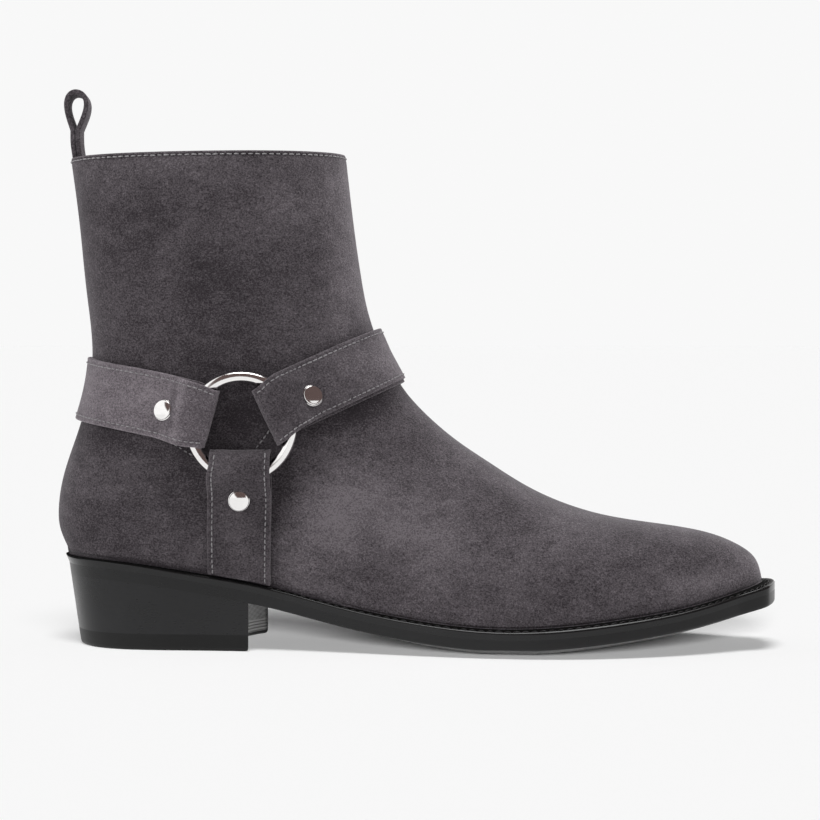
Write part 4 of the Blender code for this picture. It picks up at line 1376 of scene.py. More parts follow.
@dataclass
class Harness:
    """Rings, folded straps and studs, with the stitching along the straps."""

    last: Last
    wardrobe: Wardrobe
    width: float = 0.025
    leather: float = 0.0013
    gap: float = 0.0008
    wire: float = 0.0046
    ring_radius: float = 0.0206
    ring_x: float = 0.0810
    ring_z: float = 0.0933
    wire_room: float = 0.0005
    fold_length: float = 0.0035
    loop_end: float = 0.0110
    pressed_from: float = 0.0225
    edge_round: float = 0.0004
    seam_in: float = 0.0020
    seam_trough: float = 0.00022
    stud_radius: float = 0.0045
    stud_height: float = 0.0020
    stud_cap: float = 0.0007
    stud_rim: float = 0.0006
    stud_sunk: float = 0.0005
    wrap_centre: float = 0.030
    wrap_turn: float = 135.0
    wrap_rays: int = 541
    drop_reach: float = 0.1
    drop_step: float = 0.0005
    ray_from: float = 0.1
    plain_lines: tuple[float, ...] = (0.0, 0.0026, 0.0052, 0.0076)
    beside_seam: tuple[float, ...] = (-0.0013, -0.0006, -0.0003, 0.0, 0.0003, 0.0006, 0.0011)
    cut_half: float = 0.019
    cut_count: int = 39
    fold_points: int = 9
    near_step: float = 0.001
    near_end: float = 0.0265
    step: float = 0.0013
    wire_points: int = 28
    ring_segments: int = 144
    stud_segments: int = 56
    back: StrapRow = StrapRow(
        "back", angle=165.5, fold=0.0121, stud=0.0325, stud_off=0.0013, start=0.0, past=0.0, bow=0.0034,
        near_half=0.0121, far_half=0.0134, wraps=True, stud_lean=(0.16, 0.12),
    )
    front: StrapRow = StrapRow(
        "front", angle=24.8, fold=0.0092, stud=0.0304, stud_off=-0.0019, start=-0.0008, past=0.0017,
        bow=0.0, near_half=0.0125, far_half=0.0127, wraps=True, stud_lean=(-0.16, 0.10), trim=0.0013,
    )
    lower: StrapRow = StrapRow(
        "lower", angle=-91.3, fold=0.0092, stud=0.0305, stud_off=0.0, start=-0.0004, past=-0.0004,
        bow=0.0, near_half=0.0122, far_half=0.0132, wraps=False, stud_lean=(0.14, 0.14),
    )
    # Painted shade and highlight on the straps: darker and lighter patches across them, and a dark and a
    # pale line for a crease on the back strap.
    strokes: tuple[NapStroke, ...] = tuple(NapStroke(*row) for row in (
        (0.0653, 0.100, 0.007, 0.012, 0, -0.14), (0.0526, 0.102, 0.012, 0.0011, 82, -0.20),
        (0.0560, 0.104, 0.012, 0.0016, 82, 0.12), (0.0420, 0.106, 0.010, 0.006, 0, 0.10),
        (0.1000, 0.101, 0.009, 0.010, 0, -0.16), (0.1310, 0.119, 0.014, 0.009, 25, 0.16),
        (0.1130, 0.112, 0.006, 0.006, 0, -0.08), (0.0730, 0.078, 0.008, 0.007, 0, 0.12),
        (0.0870, 0.055, 0.007, 0.016, 0, -0.10), (0.0720, 0.040, 0.004, 0.014, 0, -0.10),
        (0.0860, 0.077, 0.006, 0.008, 0, -0.12),
    ))
    quarter_seam: tuple[tuple[float, float], ...] = (
        (0.0440, 0.0900), (0.0534, 0.0853), (0.0616, 0.0808),
        (0.0776, 0.0790), (0.0880, 0.0865), (0.0940, 0.0950),
    )
    quarter_sunk: float = 0.0002
    back_sink: float = 0.0004
    back_tilt: float = 0.0009
    settle: float = 0.012
    bow_from: float = 0.015
    bow_over: float = 0.055
    widen_wrap: float = 0.010
    widen_drop: float = 0.024
    trim_from: float = 0.003
    trim_over: float = 0.012
    sink_from: float = 0.15
    sink_over: float = 0.25
    trough_soft: float = 0.00045
    crown: float = 0.00012
    stud_dent: float = 0.00030
    dent_soft: float = 0.0012
    stud_seat: float = 0.0004
    layer_share: float = 0.975
    edge_tone: float = 0.2
    # Painted shade on the strap leather's inner face, inside the fold
    back_tone: float = -0.25
    pale_edge: float = 0.0006
    seam_from: int = 7
    stud_flat: float = 0.80
    stud_shoulder: float = 0.13
    rim_roll: float = 0.00038
    rim_lift: float = 0.00012
    skin: BVHTree = field(init=False)
    rings: dict[Side, Pair] = field(init=False)
    shifts: Array = field(init=False)
    cuts: Array = field(init=False)
    seams: list[SeamPath] = field(default_factory=list)
    turning: TurnedForm = field(default_factory=TurnedForm)

    def __post_init__(self) -> None:
        """Prepares the face that the straps lie on and the rings' places."""
        rows, across = np.linspace(0.0, TOP_ROW, 241), np.linspace(-1.0, 1.0, 161)
        points = self.last.upper(rows, across)
        faces = grid_faces(len(rows), len(across)).tolist()
        self.skin = BVHTree.FromPolygons(points.reshape(-1, 3).tolist(), faces, epsilon=1e-7)
        self.rings = {side: self.ring_frame(side) for side in Side}
        half, seam = self.width / 2, self.width / 2 - self.seam_in
        inner = [*self.plain_lines, *(seam + step for step in self.beside_seam)]
        arc = half - self.edge_round + self.edge_round * np.sin(EDGE_TURNS)
        positive = np.array(inner + arc.tolist())
        self.shifts = np.concatenate((-positive[:0:-1], positive))
        self.cuts = np.linspace(-self.cut_half, self.cut_half, self.cut_count)

    def side_hit(self, x: float, z: float, side: Side) -> Pair:
        """The upper's face, seen from one side."""
        point, normal, _, _ = self.skin.ray_cast(Vector((x, side * self.ray_from, z)), Vector((0, -side, 0)))
        return np.array(point), np.array(normal if normal.y * side > 0 else -normal)

    def ring_frame(self, side: Side) -> Pair:
        """A ring's centre, as its solid has it, and its outward normal.

        Args:
            side: which ring.

        Returns:
            The two.
        """
        low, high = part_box("ring_" + side.word)
        centre = np.array((self.ring_x, (low[1] + high[1]) / 2 - STEP[1], self.ring_z))
        r, turns = self.ring_radius, np.linspace(0, 2 * math.pi, 24, endpoint=False)
        around = [(self.ring_x + r * math.cos(a), self.ring_z + r * math.sin(a)) for a in turns]
        return centre, unit(sum(self.side_hit(x, z, side)[1] for x, z in around))

    @staticmethod
    def radial(angle: float) -> Pair:
        """Directions along and across a strap in the side view."""
        turn = math.radians(angle)
        return np.array((math.cos(turn), 0, math.sin(turn))), np.array((-math.sin(turn), 0, math.cos(turn)))

    def wrap_line(self, row: StrapRow, shift: float) -> Array:
        """The upper's cut along a strap from the lateral ring round to the medial one.

        Args:
            row: the strap.
            shift: distance from its middle line.

        Returns:
            Points.
        """
        along, across = self.radial(row.angle)
        ring = np.array((self.ring_x, 0, self.ring_z)) + across * shift
        centre = Vector(ring + along * self.wrap_centre)
        hits = []
        for turn in np.radians(np.linspace(-self.wrap_turn, self.wrap_turn, self.wrap_rays)):
            way = along * math.cos(turn) + np.array((0, math.sin(turn), 0))
            point = self.skin.ray_cast(centre, Vector(way))[0]
            if point:
                hits.append(point)
        points = np.array(hits)
        inside = np.flatnonzero((points - ring) @ along > row.fold)
        return points[inside[0] : inside[-1] + 1]

    def drop_line(self, row: StrapRow, shift: float, side: Side) -> Array:
        """The upper's cut along a lower strap, from the fold at the ring to the welt.

        Args:
            row: the strap.
            shift: distance from its middle line.
            side: which side.

        Returns:
            Points.
        """
        along, across = self.radial(row.angle)
        ring = np.array((self.ring_x, 0, self.ring_z)) + across * shift
        points = []
        for distance in np.arange(row.fold, self.drop_reach, self.drop_step):
            at = ring + along * distance
            if at[2] < self.last.sole_top(at[0]) + self.last.welt_rise + 2 * self.last.gap:
                break
            points.append(self.side_hit(at[0], at[2], side)[0])
        return np.array(points)

    def fold_steps(self) -> Array:
        """Distances from a fold, closest together round it."""
        turn = np.linspace(0, math.pi / 2, self.fold_points)
        bend = self.fold_length * (1 - np.cos(turn))
        near = np.arange(self.fold_length + self.near_step, self.near_end, self.near_step)
        return np.concatenate((bend, near))

    def stations(self, length: float, side: Side | None) -> list[Station]:
        """Places along a strap.

        Args:
            length: of its line on the upper.
            side: the only ring that it has, or none where it runs from ring to ring.

        Returns:
            The places, from its lateral or only fold on.
        """
        steps = self.fold_steps()
        plain = steps[-1]
        near = [Station(0.0, d, d, side or Side.LATERAL) for d in steps]
        if side:
            shares = np.linspace(0, 1, round((length - plain) / self.step) + 1)[1:]
            return near + [Station(s, plain * (1 - s), plain, side) for s in shares]
        far = [Station(1.0, -d, d, Side.MEDIAL) for d in steps[::-1]]
        shares = np.linspace(0, 1, round((length - 2 * plain) / self.step) + 1)[1:-1]
        between = [
            Station(s, plain * (1 - 2 * s), plain, Side.LATERAL if s < 0.5 else Side.MEDIAL) for s in shares
        ]
        return near + between + far

    def bed(self, run: Run, trim: float) -> Pair:
        """The upper's face under a strap.

        Args:
            run: the strap.
            trim: how much narrower it is along its first edge, past the fold.

        Returns:
            Points and outward normals, line by line.
        """
        row, lines, places = run
        share = np.array([p.share for p in places])
        offset = np.array([p.offset for p in places])
        cut = []
        for line in lines:
            run = run_lengths(line)
            at = share * run[-1] + offset
            cut.append(np.stack([np.interp(at, run, line[:, axis]) for axis in range(3)], axis=-1))
        cut = np.array(cut)
        length = run_lengths(lines[len(lines) // 2])[-1]
        away = share * length + offset
        if row.wraps:
            away = np.minimum(away, length - away)
        middle = row.start + (row.past - row.start) * smooth(away / self.settle)
        middle = middle + row.bow * smooth((away - self.bow_from) / self.bow_over)
        widen = self.widen_wrap if row.wraps else self.widen_drop
        half = row.near_half + (row.far_half - row.near_half) * smooth(away / widen)
        shift = self.shifts[:, None] / (self.width / 2)
        cut_in = trim * np.clip(-shift, 0.0, 1.0) * smooth((away - self.trim_from) / self.trim_over)
        wanted = middle + shift * half + cut_in
        at = (wanted - self.cuts[0]) / (self.cuts[1] - self.cuts[0])
        below = np.clip(at.astype(int), 0, len(cut) - 2)
        rest, station = (at - below)[:, :, None], np.arange(len(places))
        points = cut[below, station] * (1 - rest) + cut[below + 1, station] * rest
        normals = grid_normals(points)
        normals *= np.sign(np.sum(normals[:, :, 1] * points[:, :, 1]))
        for _ in range(3):
            padded = np.pad(normals, ((1, 1), (1, 1), (0, 0)), mode="edge")
            near = padded[1:-1, 2:] + padded[1:-1, :-2] + 2 * normals
            normals = unit(near + padded[2:, 1:-1] + padded[:-2, 1:-1])
        return points, normals

    def layer(self, run: Run, way: int, trim: float = 0.0) -> Pair:
        """One of a doubled strap's two faces.

        Args:
            run: the strap.
            way: 1 for the face away from the upper, -1 for the one on it.
            trim: how much narrower it is along its first edge, past the fold.

        Returns:
            Its points and the upper's outward normals, line by line.
        """
        points, normals = self.bed(run, trim)
        places = run.places
        fold = np.array([p.fold for p in places])
        centres = np.array([self.rings[p.side][0] for p in places])
        ups = np.array([self.rings[p.side][1] for p in places])
        plane = np.sum(ups * (centres - points), axis=-1) / np.sum(ups * normals, axis=-1)
        pressed = smooth((fold - self.loop_end) / (self.pressed_from - self.loop_end))
        middle = plane + pressed * (self.gap + self.leather - plane)
        open_half = self.wire / 2 + self.wire_room + self.leather
        half = open_half + pressed * (self.leather - open_half)
        share = np.array([p.share for p in places])
        far = smooth((0.5 - np.abs(share - 0.5) - self.sink_from) / self.sink_over)
        upper = np.clip(0.5 - self.shifts / self.width, 0.0, 1.0)
        if run.row is self.back:
            middle = middle - far * (self.back_sink + self.back_tilt * upper[:, None])
        back = np.maximum(0.0, self.fold_length - fold) / self.fold_length
        half = half * np.sqrt(np.maximum(0.0, 1 - back * back))
        return points + normals * (middle + way * half)[:, :, None], normals

    def stud_frame(self, run: Run, side: Side, far: bool) -> Pair:
        """Where a stud sits on its strap.

        Args:
            run: the strap.
            side: which side.
            far: whether it is at the strap's second fold.

        Returns:
            Its foot's middle and its direction.
        """
        row = run.row
        at = row.stud - row.fold
        sign, share = (-1, 1.0) if far else (1, 0.0)
        spots = (at - self.stud_radius, at, at + self.stud_radius)
        places = [Station(share, sign * d, d, side) for d in spots]
        face, normals = self.layer(run._replace(places=places), 1)
        near = np.abs(self.shifts - row.stud_off) < self.stud_radius
        foot = [np.interp(row.stud_off, self.shifts, face[:, 1, axis]) for axis in range(3)]
        across = face[near][-1, 1] - face[near][0, 1]
        ahead = face[near][:, 2].mean(axis=0) - face[near][:, 0].mean(axis=0)
        up = unit(np.cross(across, ahead))
        return np.array(foot), up * np.sign(up @ normals[near][0, 1])

    def strap(self, name: str, run: Run, studs: Sequence[Array]) -> Piece:
        """A strip of leather that runs out over the ring and back under itself.

        Args:
            name: the piece's name.
            run: the strap, with stations from fold to fold or from fold to welt.
            studs: where studs press into it.

        Returns:
            The strip.
        """
        closed = run.row.wraps
        under, _ = self.layer(run, -1)
        over, normals = self.layer(run, 1, run.row.trim)
        if closed:
            face = np.concatenate((over, under[:, -2:0:-1]), axis=1)
            ahead = np.roll(face, -1, axis=1) - np.roll(face, 1, axis=1)
        else:
            face = np.concatenate((over[:, :0:-1], under), axis=1)
            rest = self.last.sole_top(face[:, :, 0]) + 0.5 * self.last.welt_rise
            face[:, :, 2] = np.maximum(face[:, :, 2], rest)
            ahead = np.gradient(face, axis=1)
        out = unit(np.cross(np.gradient(face, axis=0), ahead))
        top = over.shape[1] // 2 if closed else over.shape[1] // 4
        core = len(self.shifts) // 2
        out *= np.sign(np.sum(out[core, top] * normals[core, -top if not closed else top]))
        seam = self.width / 2 - self.seam_in
        trough = self.seam_trough * bell(np.abs(self.shifts) - seam, self.trough_soft)
        crown = self.crown * (np.abs(self.shifts) / (self.width / 2)) ** 4
        sunk = np.broadcast_to((trough + crown)[:, None], face.shape[:2]).copy()
        for centre in studs:
            away = np.linalg.norm(face - centre, axis=-1)
            dent = self.stud_dent * bell(away - self.stud_radius, self.dent_soft)
            sunk += dent + self.stud_seat * (away < self.stud_radius)
        return self.strip(name, face - out * sunk[:, :, None], out, closed)

    def strip(self, name: str, face: Array, out: Array, closed: bool) -> Piece:
        """Gives a strap's outer face its thickness and round edges.

        Args:
            name: the piece's name.
            face: the outer face, line by line.
            out: outward directions.
            closed: whether its ends are joined.

        Returns:
            The strip.
        """
        count, r = len(self.shifts), self.edge_round
        thick = self.leather * self.layer_share
        rise = r - r * np.cos(EDGE_TURNS)
        right, left = list(range(count - 4, count)), [3, 2, 1, 0]
        around = [(i, 0.0) for i in range(4, count - 4)]
        around += [*zip(right, rise), *zip(right[::-1], thick - rise[::-1])]
        around += [(i, thick) for i in range(count - 5, 3, -3)]
        around += [*zip(left, thick - rise), *zip(left[::-1], rise[::-1])]
        index, depth = (np.array(part) for part in zip(*around))
        points = face[index] - out[index] * depth[:, None, None]
        inside = self.width / 2 - self.pale_edge
        edge = np.clip((np.abs(self.shifts[index]) - inside) / self.pale_edge, 0, 1)
        # Paler cut edges, and painted shade on the leather's inner face inside the fold; the strokes add
        # painted shade and highlight.
        cut_edge_and_fold_shade = self.edge_tone * edge + self.back_tone * (depth > thick * 0.9)
        tone = brushed(points, self.strokes).T + cut_edge_and_fold_shade[None, :]
        piece = Piece(name)
        stops = face.shape[1]
        faces = grid_faces(stops, len(around), closed, True).tolist()
        if not closed:
            faces += end_faces(stops, len(around))
        piece.add(points.transpose(1, 0, 2), faces, tone.ravel())
        return piece

    def seam_lines(self, run: Run) -> None:
        """Keeps the two stitch lines along a strap.

        Args:
            run: the strap.
        """
        over, normals = self.layer(run, 1, run.row.trim)
        seam = self.width / 2 - self.seam_in
        first, count = self.seam_from, len(run.places)
        last = count - first if run.row.wraps else count - 1
        for line in (np.argmin(np.abs(self.shifts - seam)), np.argmin(np.abs(self.shifts + seam))):
            course = over[line, first:last]
            ahead = unit(np.gradient(course, axis=0))
            across = unit(over[line + 2, first:last] - over[line - 2, first:last])
            up = unit(np.cross(ahead, across))
            up *= np.sign(np.sum(up * normals[line, first:last]))
            self.seams.append(SeamPath(course - up * self.seam_trough, up))

    def quarter_path(self, side: Side) -> SeamPath:
        """The seam between foot and shaft, which dips below the ring.

        Args:
            side: which side.

        Returns:
            The seam, from under one strap to under the other.
        """
        knots = np.array(self.quarter_seam)
        at = np.linspace(0, len(knots) - 1, 60)
        x, z = (Spline(range(len(knots)), knots[:, axis])(at) for axis in range(2))
        hits, ups = (np.array(part) for part in zip(*(self.side_hit(*place, side) for place in zip(x, z))))
        return SeamPath(hits - ups * self.quarter_sunk, ups)

    def lay(self, row: StrapRow, side: Side | None = None) -> None:
        """Builds a strap with its studs and keeps its stitch lines.

        Args:
            row: the strap.
            side: its only side, or none where it runs from ring to ring.
        """
        lines = [self.drop_line(row, d, side) if side else self.wrap_line(row, d) for d in self.cuts]
        run = Run(row, lines, self.stations(run_lengths(lines[len(lines) // 2])[-1], side))
        sides = [side] if side else list(Side)
        studs = {at: self.stud_frame(run, at, not side and at is Side.MEDIAL) for at in sides}
        kind = row.name + "_strap"
        name = f"{kind}_{side.word}" if side else kind
        strap = self.strap(name + "_suede", run, [foot for foot, _ in studs.values()])
        dress(strap.finish(self.wardrobe["suede_" + kind], sharp=50), "suede", name)
        self.seam_lines(run)
        for at, (foot, up) in studs.items():
            self.stud(row, at, foot, up)

    def build(self) -> None:
        """Builds straps, rings and studs."""
        self.lay(self.back)
        self.lay(self.front)
        for side in Side:
            self.lay(self.lower, side)
            self.ring(side)
            self.seams.append(self.quarter_path(side))

    def stud(self, row: StrapRow, side: Side, foot: Array, up: Array) -> None:
        """A domed rivet cap with a rolled rim.

        Args:
            row: the strap.
            side: which side.
            foot: where it sits on the strap's face.
            up: its direction.
        """
        name = f"stud_{row.name}_{side.word}"
        up = unit(up + np.array((row.stud_lean[0], 0.0, row.stud_lean[1])))
        turn = np.linspace(0, math.pi / 2, 8)
        flat, drop = self.stud_flat * self.stud_radius, self.stud_height - self.stud_cap - self.stud_rim
        out = np.linspace(0.0, 1.0, 9)[:-1]
        cap = joined(flat * out, self.stud_cap * out**2 - self.stud_height)
        wide = self.stud_shoulder * self.stud_radius
        edge = joined(flat + wide * np.sin(turn), -self.stud_rim - drop * np.cos(turn))
        dome = np.concatenate((cap, edge))
        roll = np.radians(np.linspace(100, -90, 9))
        small = self.rim_roll
        bead = self.stud_radius - small
        low = small + self.rim_lift - self.stud_rim
        rim = joined(bead + small * np.cos(roll), low - small * np.sin(roll))
        foot_ring = np.array(((bead, self.stud_sunk), (0.0, self.stud_sunk)))
        profile = SeamPath(np.concatenate((dome, rim, foot_ring)))
        nickel = self.wardrobe["nickel_plate"]
        form = self.turning.turn(name + "_cap", profile, foot, up, self.stud_segments, 60.0, nickel)
        dress(form, "nickel", name)

    def ring(self, side: Side) -> None:
        """A round wire ring.

        Args:
            side: which side.
        """
        centre, up = self.rings[side]
        turn = np.linspace(0, 2 * math.pi, self.wire_points, endpoint=False)
        half = self.wire / 2
        wire = joined(self.ring_radius + half * np.cos(turn), half * np.sin(turn))
        profile = SeamPath(wire, closed=True)
        name, nickel = "ring_" + side.word, self.wardrobe["nickel_plate"]
        form = self.turning.turn(name + "_wire", profile, centre, up, self.ring_segments, 80.0, nickel)
        dress(form, "nickel", name)


@dataclass
class Sole:
    """Outsole, welt, heel and insole, with the welt's stitching."""

    last: Last
    wardrobe: Wardrobe
    welt_thick: float = 0.0033
    top_piece: float = 0.0068
    breast_hollow: float = 0.0095
    breast_flatness: float = 2.4
    insole_rise: float = 0.0034
    insole_stations: int = 90
    stations: int = 150
    end_share: float = 0.0004
    heel_stations: int = 54
    # Down the outsole's edge: inset, share of its height, and lift at its lower rim
    edge_rows: tuple[tuple[float, float, float], ...] = (
        (0.0012, 0.0, 0.0), (0.0, 0.0, 0.0), (0.0, 0.35, 0.0), (0.0, 0.7, 0.0),
        (0.0, 1.0, 0.0010), (0.00012, 1.0, 0.0005), (0.0004, 1.0, 0.00015), (0.0010, 1.0, 0.0),
    )
    # Under the outsole: share of its width, and of its camber
    camber_rows: tuple[tuple[float, float], ...] = (
        (0.93, 0.74), (0.86, 0.48), (0.8, 0.3), (0.72, 0.15), (0.63, 0.05), (0.55, 0.0), (0.3, 0.0),
    )
    breast_steps: int = 30
    heel_layer: float = 0.0013
    trim_early: float = 0.002
    trim_over: float = 0.012
    rib_from: float = 0.05
    rib_over: float = 0.06
    stitch_from: float = 1.1
    stitch_lift: float = 0.00008
    bare_tone: float = 0.42
    fibre_tone: float = 0.16
    fibre_turns: float = 1800.0
    fibre_slant: float = 40.0
    layer_from: float = 0.0018
    line_soft: float = 0.16
    line_depth: float = 0.00022
    foot_top: float = 0.0015
    foot_half: float = 0.03
    rubber_tone: float = 0.75
    line_tone: float = 0.65

    def along(self, count: int | None = None) -> Array:
        """Shares of the sole's length, closest together at both ends."""
        turn = np.linspace(0, math.pi, (count or self.stations) + 1)
        return self.end_share + (1 - 2 * self.end_share) * (1 - np.cos(turn)) / 2

    def capped(self, piece: Piece, rings: Sequence[Array], tone: Array | float = 0.0) -> None:
        """Joins rings from top to bottom and closes the first and the last across.

        Args:
            piece: what they are added to.
            rings: points right round, of one count.
            tone: one value, or one for each point.
        """
        count = len(rings[0])
        first = piece.add(np.array(rings), grid_faces(len(rings), count, False, True), tone)
        for ring, flip in ((0, False), (len(rings) - 1, True)):
            base = first + ring * count
            for i in range(count // 2 - 1):
                quad = [base + i, base + i + 1, base + count - 2 - i, base + count - 1 - i]
                piece.faces.append(quad[::-1] if flip else quad)

    def build_outsole(self) -> None:
        """The outsole, its edge rounded and its lower face cambered across."""
        last, along = self.last, self.along()
        rings = []
        outer = last.ring(along, SOLE_EDGE)
        free = smooth((outer[0] - last.heel_length + self.trim_early) / self.trim_over)
        for depth, share, lift in self.edge_rows:
            inner = last.ring(along, even_inset(depth))
            trim = np.where(share > 0.9, free, 1.0)
            x, y = (a + trim * (b - a) for a, b in zip(outer, inner))
            high = last.sole_top(x) - self.welt_thick
            low = last.sole_bottom(x) + last.camber(x)
            rings.append(last.drawn_in(x, y, high + share * (low - high) + lift * trim))
        for out, hang in self.camber_rows:
            rings.append(last.drawn_in(x, y * out, last.sole_bottom(x) + last.camber(x) * hang))
        piece = Piece("outsole_leather")
        self.capped(piece, rings)
        dress(piece.finish(self.wardrobe["sole_edge"], sharp=50), "sole", "outsole")

    def welt_ring(self, share: float, height: float, rise: float = 0.0, extra: float = 0.0) -> Array:
        """A ring of points on the welt.

        Args:
            share: 0 at the sole's edge, 1 at the feather line.
            height: above the welt's upper edge.
            rise: further height, as a share of the dark band's.
            extra: further inset in metres.

        Returns:
            The points.
        """
        inset = Inset(*(a + b for a, b in zip(FEATHER.scaled(share), even_inset(extra))))
        x, y = self.last.ring(self.along(), inset, 1 - share)
        return self.last.drawn_in(x, y, self.last.sole_top(x) + height + rise * self.last.band(x))

    def build_welt(self) -> None:
        """The strip that the upper stands on: a bevelled edge, a stitched top, and a dark rib."""
        rings = [self.welt_ring(share, height, extra=extra) for share, height, extra in (
            (0.0, -self.welt_thick, 0.0), (0.0, -0.0012, 0.0), (0.0, -0.00066, 0.0),
            (0.0, -0.00052, 0.00008), (0.0, -0.00028, 0.00028), (0.0, -0.00006, 0.00052),
            (0.0, 0.0, 0.00066), (0.30, -0.00010, 0.0004), (0.50, -0.00018, 0.0002), (0.70, -0.00018, 0.0),
        )]
        x, y = self.last.ring(self.along(), WELT_INNER, 0.0)
        top = self.last.sole_top(x)
        rings.append(joined(x, y, top - 0.0003))
        rings.append(joined(x, y, top - self.welt_thick))
        piece = Piece("welt_strip")
        piece.add(np.array(rings), grid_faces(len(rings), len(rings[0]), True, True))
        dress(piece.finish(self.wardrobe["welt_leather"], sharp=50), "sole", "welt")
        # The rib's near-black matte finish paints the shade of the crease under the suede.
        rings = [self.rib_ring(*row) for row in (
            (0.03, 0.60, -0.0003, 0.0), (0.03, 0.60, 0.0, 0.14), (0.18, 0.66, 0.0, 0.40),
            (0.55, 0.78, 0.0, 0.68), (0.80, 0.90, 0.0, 0.90), (1.0, 1.0, 0.0, 0.96),
        )]
        rings += [joined(x, y, top + self.last.band(x)), joined(x, y, top - 0.0003)]
        piece = Piece("welt_rib")
        piece.add(np.array(rings), grid_faces(len(rings), len(rings[0]), True, True))
        dress(piece.finish(self.wardrobe["rib_leather"], sharp=60), "sole")

    def rib_ring(self, at_heel: float, at_ball: float, height: float, rise: float) -> Array:
        """A ring of points on the welt's rib, which is wider round the heel."""
        heel, ball = (self.welt_ring(share, height, rise) for share in (at_heel, at_ball))
        return heel + (ball - heel) * smooth((heel[:, :1] - self.rib_from) / self.rib_over)

    def welt_path(self) -> SeamPath:
        """The stitch line on the welt, from the heel's breast round the toe and back."""
        ring, outer, inner = (self.welt_ring(share, -0.00018, extra=0.0002) for share in (0.46, 0.30, 0.60))
        ahead = unit(np.roll(ring, -1, axis=0) - np.roll(ring, 1, axis=0))
        up = unit(np.cross(ahead, unit(inner - outer)))
        up *= np.sign(up[:, 2:3])
        keep = ring[:, 0] > self.last.heel_length * self.stitch_from
        return SeamPath(ring[keep] + up[keep] * self.stitch_lift, up[keep])

    def heel_outline(self) -> tuple[Array, Array, Array]:
        """The heel's outline under the sole: round its back, then along its hollow breast.

        Returns:
            x, y, and 1 on the breast where it is 0 elsewhere.
        """
        last = self.last
        turn = np.linspace(0, math.pi / 2, self.heel_stations + 1)
        share = last.heel_length / last.length * (1 - np.cos(turn)) + self.end_share
        there = last.outline(share[::-1], Side.LATERAL, SOLE_EDGE)
        back = last.outline(share, Side.MEDIAL, SOLE_EDGE)
        x, y = np.concatenate((there[0], back[0])), np.concatenate((there[1], back[1]))
        step = np.linspace(0, 1, self.breast_steps + 1)[1:-1]
        hollow = self.breast_hollow * (1 - np.abs(2 * step - 1) ** self.breast_flatness)
        breast = np.concatenate((np.zeros(len(x)), np.ones(len(step))))
        across = y[-1] + (y[0] - y[-1]) * step
        return np.concatenate((x, x[-1] - hollow)), np.concatenate((y, across)), breast

    def closed_rings(self, name: str, rings: Sequence[Array], tone: Array | float = 0.0) -> Piece:
        """A form through rings, closed by one face at each end.

        Args:
            name: the piece's name.
            rings: points right round, from top to bottom.
            tone: one value, or one for each point.

        Returns:
            The form.
        """
        count = len(rings[0])
        piece = Piece(name)
        piece.add(np.array(rings), grid_faces(len(rings), count, False, True), tone)
        piece.faces += [list(range(count)), list(range((len(rings) - 1) * count, len(rings) * count))]
        return piece

    def build_heel(self) -> None:
        """The stacked heel, its layers showing at the breast, and the rubber under it."""
        last = self.last
        x, y, breast = self.heel_outline()
        high, low = last.sole_bottom(x), np.full_like(x, self.top_piece)
        rings, tones = [], []
        for share in np.linspace(0, 1, 25):
            rings.append(last.drawn_in(x, y, high + share * (low - high)))
            wave = np.sin(self.fibre_turns * rings[-1][:, 1] + self.fibre_slant * share)
            tones.append(breast * (self.bare_tone + self.fibre_tone * wave))
        stack = self.closed_rings("heel_stack_leather", rings, np.concatenate(tones))
        dress(stack.finish(self.wardrobe["heel_leather"], sharp=38), "heel", "heel_stack")
        middle, rings, tones = last.heel_length / 2, [], []
        foot = ((0.0014, 0.0), (0.0007, 0.0002), (0.00022, 0.0006), (0.0, 0.0012))
        for z, trim in (*((z, 0.0) for z in np.linspace(self.top_piece, 0.0016, 40)), *foot):
            ring = last.drawn_in(x, y, np.full_like(x, z))
            phase = ((z - self.layer_from) / self.heel_layer + 0.5) % 1 - 0.5
            line = bell(phase, self.line_soft) * (z > self.foot_top)
            ring[:, 0] = middle + (ring[:, 0] - middle) * (1 - trim / middle)
            ring[:, 0] -= breast * self.line_depth * line
            ring[:, 1] *= 1 - trim / self.foot_half
            rings.append(ring)
            tones.append(breast * (self.rubber_tone - self.line_tone * line) * (z > self.foot_top))
        lift = self.closed_rings("heel_lift_rubber", rings, np.concatenate(tones))
        dress(lift.finish(self.wardrobe["heel_rubber"], sharp=38), "rubber", "heel_top_piece")

    def build_insole(self) -> None:
        """The insole, a little dished under the heel and the ball."""
        last, along = self.last, self.along(self.insole_stations)
        rings = []
        rise = self.insole_rise
        for extra, height in ((0.0, 0.0003 - self.welt_thick), (0.0, rise - 0.0004), (0.0004, rise)):
            inset = Inset(*(a + b for a, b in zip(INSOLE_EDGE, even_inset(extra))))
            x, y = last.ring(along, inset, 0.0)
            rings.append(joined(x, y, last.sole_top(x) + height))
        for out in (0.85, 0.6, 0.3):
            dished = last.sole_top(x) + rise - 0.0006 * (1 - out)
            rings.append(joined(x, y * out, dished))
        piece = Piece("insole_cover")
        self.capped(piece, rings)
        dress(piece.finish(self.wardrobe["insole_leather"], sharp=45), "insole", "insole")

    def build(self) -> None:
        """Builds every piece under the foot."""
        self.build_outsole()
        self.build_welt()
        self.build_heel()
        self.build_insole()


